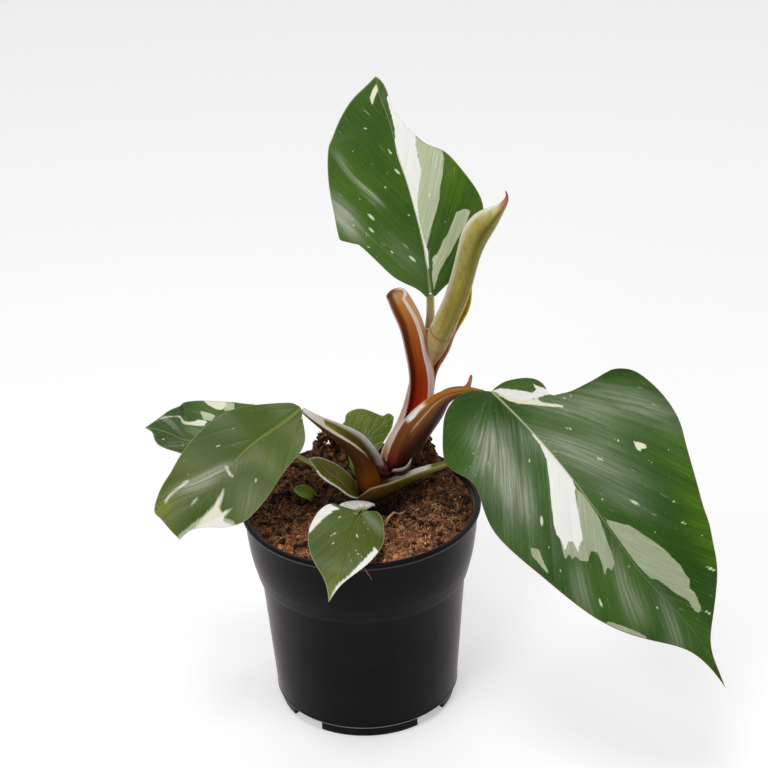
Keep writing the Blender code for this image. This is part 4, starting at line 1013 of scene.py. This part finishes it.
stalk("bud_sheath_skin",
      rows(ROUTE, 364, 179, 1606, 150, 370, 180, 1674, 170, 388, 178, 1760, 190, 436, 170, 1860, 220, 466, 160, 1955,
          240, 512, 145, 2050, 240, 544, 130, 2125, 200, 564, 120, 2225, 80),
      [0.8, 0.85, 0.8, 0.6], ((-0.3, -0.9, 0.3), (-0.4, -0.9, 0.3)), bud_sheath_tint, satin,
      ["bud_sheath"], wing=(0.7,), steps=8)
stalk("sheath_spur_skin",
      rows(ROUTE, 526, -80, 1776, 150, 539, -80, 1794, 130, 547, -80, 1816, 100, 552, -80, 1838, 80, 555, -80, 1852,
          35),
      [0.2, 0.2], ((-0.4, -0.9, 0.1), (-0.4, -0.9, 0.1)),
      lambda along, across, inner: ramp(along, 0, 460, 200, 50, 600, 560, 240, 120, 1000, 400, 110, 70),
      satin, depth=(0.5,), wing=(0.5,), rings=24, steps=8)
stalk("petiole_ligule",
      rows(ROUTE, 339, 162, 1982, 35, 346, 152, 1992, 55, 360, 146, 1990, 60, 376, 148, 1994, 55, 386, 158, 2002, 30),
      [0.2, 0.2], ((0, 0, 1), (0, 0, 1)),
      lambda along, across, inner: np.tile((0.7, 0.66, 0.42), (len(along), 1)),
      satin, depth=(0.9,), wing=(0.3,), rings=24, steps=6)


def make_rolled_leaf(name, route, facing, rings=150, sides=56):
    """The new leaf rolled round itself, with the step of its overlapping edge and a hooked red tip."""
    points, _, normals, rights, widths = frames_along(route, facing, rings)
    body, tints, grain = [], [], []
    shares = np.linspace(0, 1, rings)
    turns = np.arange(sides + 1) / sides
    turns[-1] = (sides - 0.5) / sides
    for point, normal, right, width, share in zip(points, normals, rights, widths, shares):
        angle = 2 * math.pi * turns
        reach = width * (0.9 + 0.14 * np.arange(sides + 1) / sides)
        reach *= 1 + 0.012 * np.sin(7 * angle + 9 * share)
        body.append(point + reach[:, None] * (np.cos(angle)[:, None] * right + np.sin(angle)[:, None] * normal))
        along = np.full(sides + 1, share)
        colour = ramp(along, 0, 440, 240, 110, 120, 460, 310, 125, 220, 420, 320, 85, 340, 350, 285, 50, 800, 400,
                340, 80, 885, 560, 500, 210, 920, 540, 220, 130, 1000, 460, 50, 45)
        mottle = np.sin(67 * share + 2.2 * np.sin(3 * angle)) * np.sin(29 * share - 5 * angle + 1.0)
        mottle += np.sin(143 * share + 3 * np.cos(4 * angle)) * np.sin(51 * share + 7 * angle)
        colour = blend(colour, (0.17, 0.145, 0.012), 0.3 * np.clip(mottle, 0, 1) * fall(share, 0.84, 0.9))
        # Painted shade: a dark olive stripe down the right side of the roll
        shade = bell(turns, 0.13, 0.08) * fall(share, 0.88, 0.95) * (0.55 + 0.45 * step(share, 0.5, 0.75))
        colour = blend(colour, (0.13, 0.115, 0.006), 0.9 * shade)
        low_patch = bell(turns, 0.24, 0.06) * bell(share, 0.3, 0.09)
        colour = blend(colour, (0.2, 0.13, 0.015), 0.6 * low_patch)
        # Painted highlight: a cream stripe down the left side of the roll
        light = bell(turns, 0.42, 0.07) * step(share, 0.02, 0.5) * fall(share, 0.9, 0.95)
        colour = blend(colour, (0.86, 0.84, 0.7), 0.85 * light)
        edge = step(turns, 0.945, 0.985) * step(share, 0.04, 0.12)
        colour = blend(colour, blend((0.84, 0.52, 0.38), (0.74, 0.64, 0.36), step(share, 0.2, 0.35)), 0.85 * edge)
        for place, lean, strength in ((0.185, 0.016, 0.85), (0.105, 0.013, 0.5)):
            ring = np.exp(-((share - place - lean * np.cos(angle - 3.6)) / 0.0045)**2)
            colour = blend(colour, (0.24, 0.07, 0.03), strength * ring)
        tints.append(colour)
        grain.append(np.stack([turns * width * 6.0, along * 105.0, along * 0], axis=-1))
    body[-1] = np.tile(points[-1], (sides + 1, 1)) + 0.15 * (body[-1] - points[-1])
    piece = add_piece(name, np.concatenate(body), ring_faces(rings, sides + 1), waxy,
                      ["rolled_new_leaf"], sharp=55)
    store(piece, "tint", np.concatenate(tints))
    store(piece, "grain", np.concatenate(grain))


make_rolled_leaf(
    "rolled_leaf_skin",
    rows(ROUTE, 381, 56, 1839, 25, 382, 53, 1868, 160, 387, 50, 1901, 310, 394, 48, 1943, 460, 400, 47, 1979, 530,
          413, 47, 2024, 590, 433, 48, 2068, 580, 451, 50, 2111, 560, 474, 52, 2164, 550, 502, 54, 2241, 560,
          557, 30, 2460, 590, 609, 14, 2586, 630, 645, 6, 2628, 530, 686, 0, 2667, 310, 712, -5, 2698, 180, 726,
          -10, 2724, 115, 730, -15, 2750, 60, 722, -16, 2776, 20),
    ((-0.3, -0.9, 0.3), (-0.3, -0.9, 0.3)))


# Pot, repeated from the solid with its edges rounded
FOOT_RADIUS = 45.2
FOOT_INNER = 41.8
FOOT_HEIGHT = 6.0
POT_FLOOR = 7.6
POT_PROFILE = [
    (0.0, FOOT_HEIGHT), (FOOT_INNER, FOOT_HEIGHT), (FOOT_INNER, 0.0), (FOOT_RADIUS, 0.0), (FOOT_RADIUS, 5.4),
    (46.6, 5.9), (47.15, 6.6), (46.85, 7.4), (49.6, 45.0), (51.85, 74.4), (53.3, 74.4), (53.32, 74.44),
    (54.0, 76.9), (54.7, 79.9), (55.6, 83.4), (56.3, 87.2), (56.9, 91.0), (57.7, 98.0), (58.5, 108.3),
    (59.2, 109.0), (60.0, 109.7), (60.0, 111.0), (59.4, 111.5), (57.2, 111.5), (56.7, 110.3), (55.0, 87.1),
    (50.8, 85.5), (50.6, 82.5), (45.3, POT_FLOOR), (0.0, POT_FLOOR)]
EDGE_ROUNDING = 0.8
POT_SHARP = 50
POT_STEPS = 224
NOTCH_COUNT = 4
NOTCH_WIDTH = 19.5
NOTCH_ANGLE = -44.0
DRAIN_COUNT = 6
DRAIN_SIDES = 28
DRAIN_RADIUS = 4.0
DRAIN_CIRCLE = 32.0
# Heights of the painted highlight line round the foot
FOOT_HIGHLIGHT_LINE = (6.0, 6.25, 6.6, 6.85)

# Crown
CROWN_ROUTE = [(9.5, 17.3, 89, 7.0), (9.5, 17.3, 108, 7.3), (10.8, 17.0, 117, 7.2), (13.0, 17.4, 124.6, 5.2)]
SCAR_HEIGHTS = (110.5, 114.0, 117.2, 120.6, 123.4)


def rounded(profile, radius, steps=3):
    """A profile whose corners are short curves."""
    corners = np.array(profile, float)
    points = [corners[0]]
    for before, corner, after in zip(corners, corners[1:], corners[2:]):
        reach_in = min(radius, 0.45 * np.linalg.norm(before - corner))
        reach_out = min(radius, 0.45 * np.linalg.norm(after - corner))
        start = corner + unit(before - corner) * reach_in
        end = corner + unit(after - corner) * reach_out
        for share in np.linspace(0, 1, steps + 1):
            points.append((1 - share)**2 * start + 2 * share * (1 - share) * corner + share**2 * end)
    return points + [corners[-1]]


def cut_away(piece, points, faces):
    """Take a closed form out of a piece and leave no cutter behind."""
    mesh = make_mesh("cutter", points, faces)
    cutter = link("cutter", mesh)
    modifier = piece.modifiers.new("cut", "BOOLEAN")
    modifier.operation = "DIFFERENCE"
    modifier.solver = "EXACT"
    modifier.object = cutter
    bpy.context.view_layer.update()
    whole = bpy.data.meshes.new_from_object(piece.evaluated_get(bpy.context.evaluated_depsgraph_get()))
    piece.modifiers.clear()
    piece.data = whole
    bpy.data.objects.remove(cutter)
    bpy.data.meshes.remove(mesh)


def make_pot():
    """The nursery pot: rounded lip, stepped band, bead at the base, notched foot ring and drain holes."""
    turns = 2 * math.pi * np.arange(POT_STEPS) / POT_STEPS
    profile = rounded(POT_PROFILE, EDGE_ROUNDING)
    points = [(r * math.cos(t), r * math.sin(t), z) for r, z in profile[1:-1] for t in turns]
    faces = ring_faces(len(profile) - 2, POT_STEPS)
    piece = add_piece("pot_shell", points, faces, plastic, ["pot"])
    for i in range(NOTCH_COUNT):
        angle = math.radians(NOTCH_ANGLE + 360.0 * i / NOTCH_COUNT)
        out = np.array((math.cos(angle), math.sin(angle), 0.0))
        side = np.array((-out[1], out[0], 0.0)) * NOTCH_WIDTH / 2
        near = out * (FOOT_INNER - 2.0)
        far = out * (FOOT_RADIUS + 3.0)
        top = np.array((0.0, 0.0, FOOT_HEIGHT - 0.9))
        low = np.array((0.0, 0.0, -3.0))
        corners = [near - side, far - side, far + side, near + side]
        cut_away(piece, [c + low for c in corners] + [c + top for c in corners], ring_faces(2, 4))
    for i in range(DRAIN_COUNT):
        angle = 2 * math.pi * (i + 0.5) / DRAIN_COUNT
        middle = np.array((math.cos(angle), math.sin(angle), 0.0)) * DRAIN_CIRCLE
        circle = [middle + (DRAIN_RADIUS * math.cos(t), DRAIN_RADIUS * math.sin(t), 0)
                  for t in turns[::POT_STEPS // DRAIN_SIDES]]
        walls = [c + (0, 0, z) for z in (FOOT_HEIGHT - 2, POT_FLOOR + 2) for c in circle]
        cut_away(piece, walls, ring_faces(2, len(circle)))
    piece.data.shade_smooth()
    piece.data.set_sharp_from_angle(angle=math.radians(POT_SHARP))


def plastic_material():
    """Black moulded plastic: satin, faintly scuffed, with a painted highlight line at the foot."""
    n = Skin("moulded_plastic", 0.5, 0.085)
    n.set("Sheen Weight", 0.55)
    n.set("Sheen Roughness", 0.25)
    n.set("Sheen Tint", (1.0, 0.8, 0.86))
    place = n.position()
    scuff = n.noise(place, (0.5, 0.5, 2.2), 4.0, 0.65)
    tone = n.mix(n.step(n.noise(place, 0.05, 3.0), 0.35, 0.7), (0.0022, 0.0017, 0.0016), (0.004, 0.0033, 0.0032))
    tone = n.cover(tone, (0.02, 0.017, 0.016), n.step(scuff, 0.6, 0.74), 0.35)
    tone = n.cover(tone, (0.12, 0.09, 0.07), n.step(n.noise(place, 0.75, 1.0), 0.8, 0.83), 0.5)
    height = n.split(place)[2]
    # Painted highlight: a pale line round the wall's bottom edge
    foot_highlight = n.times(n.step(height, *FOOT_HIGHLIGHT_LINE[:2]), n.fall(height, *FOOT_HIGHLIGHT_LINE[2:]))
    n.set("Base Color", n.cover(tone, (0.3, 0.27, 0.28), foot_highlight, 0.8))
    n.set("Roughness", n.plus(n.times(n.step(scuff, 0.3, 0.8), 0.1), 0.36))
    n.bumpy(n.noise(place, 3.2), 0.035)
    return n.material


def make_crown():
    """The short maroon stem that the stalks grow from, with the rings of old leaf scars."""
    rings, sides = 60, 48
    points, tangents, normals, rights, radii = frames_along(CROWN_ROUTE, ((0, -1, 0), (0, -1, 0)), rings)
    body, tints, grain = [], [], []
    turns = 2 * math.pi * np.arange(sides) / sides
    for i in range(rings):
        scar = sum(math.exp(-((points[i][2] - z) / 0.5)**2) for z in SCAR_HEIGHTS)
        top = max(0.0, (i / (rings - 1) - 0.9) / 0.1)
        reach = radii[i] * math.sqrt(max(1 - top**2, 0.02)) + 0.35 * scar
        ring = points[i] + reach * (np.cos(turns)[:, None] * rights[i] + np.sin(turns)[:, None] * normals[i])
        ring += 0.12 * np.sin(5 * turns + 0.4 * i)[:, None] * tangents[i]
        body += list(ring)
        shade = blend((0.04, 0.008, 0.007), (0.16, 0.035, 0.022), np.full(sides, min(scar, 1.0) * 0.8))
        tints += list(shade)
        grain += [(turn * 7.0, points[i][2], 0.0) for turn in turns]
    piece = add_piece("crown_skin", body, ring_faces(rings, sides), satin, ["crown_stem"], sharp=60)
    store(piece, "tint", tints)
    store(piece, "grain", grain)


def make_sheet(name, low, high, thick, tint, material, count=24):
    """A thin curved scale between a low and a high path, with its high edge thinned."""
    shares = np.linspace(0, 1, count)
    below, above = curve_at(low, shares), curve_at(high, shares)
    across = np.linspace(0, 1, 7)
    outward = unit(np.cross(np.gradient(below, axis=0), above - below))
    body, tints = [], []
    for side in (0.5, -0.5):
        for share in across:
            width = thick * (1 - 0.5 * share) * np.sqrt(np.clip(np.sin(math.pi * (0.04 + 0.92 * shares)), 0, 1))
            bow = 0.8 * math.sin(math.pi * share)
            body.append(below + share * (above - below) + outward * (side * width + bow)[:, None])
            tints.append(np.stack([tint(a, share, side < 0) for a in shares]))
    order = list(range(len(across))) + list(range(2 * len(across) - 1, len(across) - 1, -1))
    rings = [np.stack([body[k][i] for k in order]) for i in range(count)]
    shades = [np.stack([tints[k][i] for k in order]) for i in range(count)]
    piece = add_piece(name, np.concatenate(rings), ring_faces(count, len(order)), material, sharp=60)
    store(piece, "tint", np.concatenate(shades))
    store(piece, "grain", np.concatenate(rings))


plastic = plastic_material()
make_pot()
make_crown()
make_sheet("old_sheath_rim", [(14.5, 8.0, 122.0), (18.0, 3.6, 123.6), (22.0, 1.0, 125.8), (24.8, 1.6, 129.0)],
           [(16.6, 0.2, 129.4), (20.0, -2.6, 131.3), (23.0, -3.4, 133.0), (25.6, -2.6, 137.0)], 0.8,
           lambda along, across, back: blend((0.05, 0.014, 0.01), (0.72, 0.62, 0.5), step(across, 0.72, 0.92)),
           satin)


# Soil, repeated from the solid: dome, heap at the back, hollow round each stem
SOIL_EDGE_HEIGHT = 107.0
SOIL_DOME = 6.0
SOIL_BACK_RISE = 10.4
SOIL_LUMP = 1.6
SOIL_LUMP_SIZE = 9.0
SOIL_LUMP_SEED = 0.37
HOLLOWS = [(5.0, 9.0, 21.0, 9.0), (-29.0, 7.0, 10.0, 5.5), (12.0, -5.0, 8.0, 8.0)]
HEAPS = [(36.0, 36.5, 6.0, 20.0), (-8.0, 40.0, 7.0, 8.0), (-21.5, 36.0, 6.0, 8.5), (25.0, 40.0, 7.0, 10.0)]
CLODS = [(5.0, 3.1, 2.0), (1.9, 7.7, 0.9)]
DARK_PEAT = (0.012, 0.0045, 0.0022)
LIGHT_PEAT = (0.34, 0.155, 0.066)
SOIL_RADIUS = 55.9
SOIL_REACH = 58.4
SOIL_WALL = [(44.9, 8.0), (50.2, 82.9), (50.4, 86.1), (54.2, 87.7), (SOIL_RADIUS, 105.5)]
SOIL_STEPS = 200
SOIL_RINGS = 64

# Loose crumbs, fibres and straws
LOOSE_REACH = 54.5
CRUMB_REACH = 54.0
FIBRE_REACH = 52.0
HEAP_PLACES = [(-22.5, 37, 117.5), (-22, 38, 120.5), (-21.5, 38.5, 123.5), (-20, 38, 126), (-18, 38.5, 127.6),
               (-15.8, 38, 127.3), (-13.8, 38, 126), (-12.6, 37.5, 123.4), (-12.8, 37, 120.6), (-14.4, 37, 118.6),
               (-17, 37, 118), (-19.5, 37, 118.4), (-11, 38, 120.5), (-9, 38.5, 118)]
TUFT_PLACE = (48.5, 6.0)
TWIG = [(11.5, -27.5, 2.2), (13.6, -23.8, 3.8), (16.2, -20.2, 4.5), (19.0, -16.6, 4.4), (22.2, -12.6, 3.4)]
RIM_FIBRE = [(-1.0, -55.2, 109.0), (0.3, -57.6, 111.6), (1.4, -60.2, 110.8), (2.8, -61.2, 108.4),
             (4.8, -61.4, 105.0)]
CRUMB_COUNT = 4200
HEAP_CRUMBS = 420
FIBRE_COUNT = 5200
STRAW_COUNT = 420
THIN_SIDES = 3
STRAND_TAPER = 0.65


def pit_depth(x, y):
    """How deep the hollows round the stems are here."""
    return sum(depth * math.exp(-((x - mx)**2 + (y - my)**2) / radius**2) for mx, my, radius, depth in HOLLOWS)


def soil_height(x, y):
    """Height of the loose soil surface."""
    reach = min(math.hypot(x, y) / SOIL_REACH, 1.0)
    dome = SOIL_DOME * (1 - reach**2)
    back = SOIL_BACK_RISE * max(y, 0.0) / 60.0 * (1 - reach**8)
    place = Vector((x / SOIL_LUMP_SIZE, y / SOIL_LUMP_SIZE, SOIL_LUMP_SEED))
    return SOIL_EDGE_HEIGHT + dome + back - pit_depth(x, y) + SOIL_LUMP * noise.noise(place) * (1 - reach**6)


def rough_height(x, y):
    """The loose surface with its clods."""
    clod = sum(noise.noise(Vector((x / size, y / size, seed))) * high for size, seed, high in CLODS)
    inward = max(1 - (math.hypot(x, y) / (SOIL_RADIUS + 0.6))**10, 0.0)
    heap = sum(high * math.exp(-((x - mx)**2 + (y - my)**2) / wide**2) for mx, my, wide, high in HEAPS)
    return soil_height(x, y) + clod * (0.35 + 0.65 * inward) + heap * inward


def make_soil():
    """The body of the soil, from the pot's floor to a cloddy surface."""
    turns = 2 * math.pi * np.arange(SOIL_STEPS) / SOIL_STEPS
    points = [(r * math.cos(t), r * math.sin(t), z) for r, z in SOIL_WALL for t in turns]
    for i in range(SOIL_RINGS):
        radius = SOIL_RADIUS * (1 - i / SOIL_RINGS)
        points += [(radius * math.cos(t), radius * math.sin(t),
                    rough_height(radius * math.cos(t), radius * math.sin(t))) for t in turns]
    layers = len(SOIL_WALL) + SOIL_RINGS
    faces = [tuple(reversed(face)) if len(face) > 4 else face for face in ring_faces(layers, SOIL_STEPS)[:-1]]
    faces[-1] = tuple(range(SOIL_STEPS))[::-1]
    top = len(points)
    points.append((0.0, 0.0, rough_height(0.0, 0.0)))
    last = (layers - 1) * SOIL_STEPS
    faces += [(last + j, last + (j + 1) % SOIL_STEPS, top) for j in range(SOIL_STEPS)]
    piece = add_piece("soil_body", points, faces, earth, ["soil"])
    store(piece, "tint", [soil_shade(x, y, 0.5) for x, y, _ in points])


def soil_shade(x, y, tone):
    """Peat colour: painted shade in the hollows, lighter towards the front, lighter and redder with the tone."""
    # Painted shade: darker the deeper the hollow round the stems
    dark = min(pit_depth(x, y) / 9.0, 1.0)
    base = np.array(DARK_PEAT) * (1 - tone) + np.array(LIGHT_PEAT) * tone
    return base * (1 - 0.85 * dark) * (1 + 1.1 * step(-y, 6.0, 40.0))


CRUMB = [(0, 0, 1), (0.9, 0, 0.25), (0.25, 0.85, 0.3), (-0.75, 0.5, 0.25), (-0.75, -0.5, 0.3), (0.25, -0.85, 0.25),
         (0.75, 0.5, -0.35), (-0.3, 0.85, -0.3), (-0.9, 0, -0.3), (-0.3, -0.85, -0.35), (0.75, -0.5, -0.3), (0, 0, -1)]
BELT = [(k + 1, (k + 1) % 5 + 1, k + 6, (k + 1) % 5 + 6) for k in range(5)]
CRUMB_FACES = ([(0, a, b) for a, b, _, _ in BELT] + [(a, c, b) for a, b, c, _ in BELT] +
               [(b, c, d) for _, b, c, d in BELT] + [(11, d, c) for _, _, c, d in BELT])


def spin(vectors, generator):
    """Vectors turned by a random rotation."""
    w, x, y, z = unit(generator.normal(size=4))
    turn = np.array([[1 - 2 * (y * y + z * z), 2 * (x * y - z * w), 2 * (x * z + y * w)],
                     [2 * (x * y + z * w), 1 - 2 * (x * x + z * z), 2 * (y * z - x * w)],
                     [2 * (x * z - y * w), 2 * (y * z + x * w), 1 - 2 * (x * x + y * y)]])
    return vectors @ turn.T


def scatter_place(generator, reach=CRUMB_REACH):
    """A random place on the soil."""
    radius = reach * math.sqrt(generator.random())
    turn = 2 * math.pi * generator.random()
    return radius * math.cos(turn), radius * math.sin(turn)


def make_crumbs():
    """Loose crumbs of peat and a heap with a gap through it at the back left."""
    shape = np.array(CRUMB, float)
    points, faces, tints = [], [], []
    for i in range(CRUMB_COUNT):
        if i < HEAP_CRUMBS:
            middle = np.array(HEAP_PLACES[i % len(HEAP_PLACES)], float) + RANDOM.normal(size=3) * (0.9, 1.6, 0.9)
            size = 0.5 + 1.0 * RANDOM.random()
            x, y = middle[:2]
        else:
            x, y = scatter_place(RANDOM)
            size = 0.35 + 1.8 * RANDOM.random()**3
            middle = np.array((x, y, rough_height(x, y) + 0.25 * size))
        stretch = size * (0.6 + 0.8 * RANDOM.random(3))
        if RANDOM.random() < 0.35:
            stretch = size * np.array((1.7 + 0.8 * RANDOM.random(), 0.55, 0.22 + 0.15 * RANDOM.random()))
        jitter = 1 + 0.35 * (RANDOM.random((len(shape), 1)) - 0.5)
        start = len(points)
        points += list(middle + spin(shape * jitter * stretch, RANDOM))
        faces += [(a + start, b + start, c + start) for a, b, c in CRUMB_FACES]
        tone = RANDOM.random()**2
        shade = soil_shade(x, y, tone) * (1.6 if RANDOM.random() < 0.12 else 1.0)
        tints += [shade] * len(shape)
    piece = add_piece("soil_crumbs", points, faces, earth, ["soil"], sharp=20)
    store(piece, "tint", tints)


def strand(path, radius, sides=4):
    """A thin tapered tube along a path."""
    path = np.array(path, float)
    tangents = unit(np.gradient(path, axis=0))
    reference = np.array((0.3, 0.2, 0.93))
    sideways = unit(np.cross(tangents, reference))
    upward = np.cross(sideways, tangents)
    rings = []
    last = len(path) - 1
    for i, point in enumerate(path):
        width = radius * (1 - STRAND_TAPER * (i / last)**2)
        for k in range(sides):
            turn = 2 * math.pi * k / sides
            rings.append(point + width * (math.cos(turn) * sideways[i] + math.sin(turn) * upward[i]))
    return rings, ring_faces(len(path), sides)


def make_fibres():
    """Curled coir fibres and straws lying on the soil, a pale twig and one fibre over the rim."""
    points, faces, tints = [], [], []

    def lay(path, radius, colour, sides=4):
        start = len(points)
        rings, around = strand(path, radius, sides)
        points.extend(rings)
        faces.extend(tuple(i + start for i in face) for face in around)
        tints.extend([colour] * len(rings))

    def curl(x, y, length):
        """A bent path that starts at a place on the soil."""
        heading = 2 * math.pi * RANDOM.random()
        bend = RANDOM.normal() * 0.35
        arch = RANDOM.random() * 1.4
        path = []
        for k in range(6):
            if math.hypot(x, y) > LOOSE_REACH:
                x, y = (value * LOOSE_REACH / math.hypot(x, y) for value in (x, y))
            lift = arch * math.sin(math.pi * (k + 0.5) / 6)
            path.append((x, y, rough_height(x, y) + 0.25 + lift))
            x += math.cos(heading) * length / 5
            y += math.sin(heading) * length / 5
            heading += bend
        return path

    for _ in range(FIBRE_COUNT):
        x, y = scatter_place(RANDOM, FIBRE_REACH)
        tone = RANDOM.random()
        colour = soil_shade(x, y, 0.4 + 0.9 * tone) * (1 + 1.5 * tone**4) + np.array((0.16, 0.11, 0.06)) * tone**6
        lay(curl(x, y, 1.0 + 6.5 * RANDOM.random()**3), 0.08 + 0.17 * RANDOM.random()**2, colour, THIN_SIDES)
    for _ in range(STRAW_COUNT):
        turn = math.radians(-90.0 + 85.0 * (2 * RANDOM.random() - 1))
        reach = 53.0 - 24.0 * RANDOM.random()**1.5
        straw = np.array((0.52, 0.34, 0.2)) * (0.45 + 0.75 * RANDOM.random())
        lay(curl(reach * math.cos(turn), reach * math.sin(turn), 2.0 + 6.0 * RANDOM.random()),
            0.16 + 0.2 * RANDOM.random(), straw)
    lay([(x, y, rough_height(x, y) + lift) for x, y, lift in TWIG], 0.75, (0.5, 0.32, 0.19), 8)
    lay(RIM_FIBRE, 0.3, (0.36, 0.22, 0.13))
    x, y = TUFT_PLACE
    for turn in np.linspace(0, 2 * math.pi, 9)[:-1]:
        reach = np.array((math.cos(turn), math.sin(turn)))
        path = [(x + reach[0] * s, y + reach[1] * s, rough_height(x, y) + 0.6 + 0.5 * s * (1 - s / 5))
                for s in (0.3, 1.5, 2.8, 4.2)]
        lay(path, 0.14, (0.26, 0.15, 0.06))
    piece = add_piece("soil_fibres", points, faces, fibre, ["soil"])
    store(piece, "tint", tints)


def soil_material(name, roughness, grain):
    """Peat: stored tint broken up by fine noise."""
    n = Skin(name, roughness, 0.25)
    place = n.position()
    fine = n.noise(place, grain, 4.0, 0.7)
    coarse = n.noise(place, grain * 0.2)
    tone = n.mix(n.step(fine, 0.3, 0.75), (0.45, 0.42, 0.4), (1.35, 1.28, 1.2))
    tone = n.multiply(tone, n.mix(n.step(coarse, 0.35, 0.65), (0.75, 0.72, 0.7), (1.15, 1.12, 1.1)))
    n.set("Base Color", n.multiply(n.read("tint"), tone))
    n.bumpy(fine, 0.5)
    return n.material


earth = soil_material("peat", 0.9, 1.3)
fibre = soil_material("coir", 0.75, 0.8)
make_soil()
make_crumbs()
make_fibres()
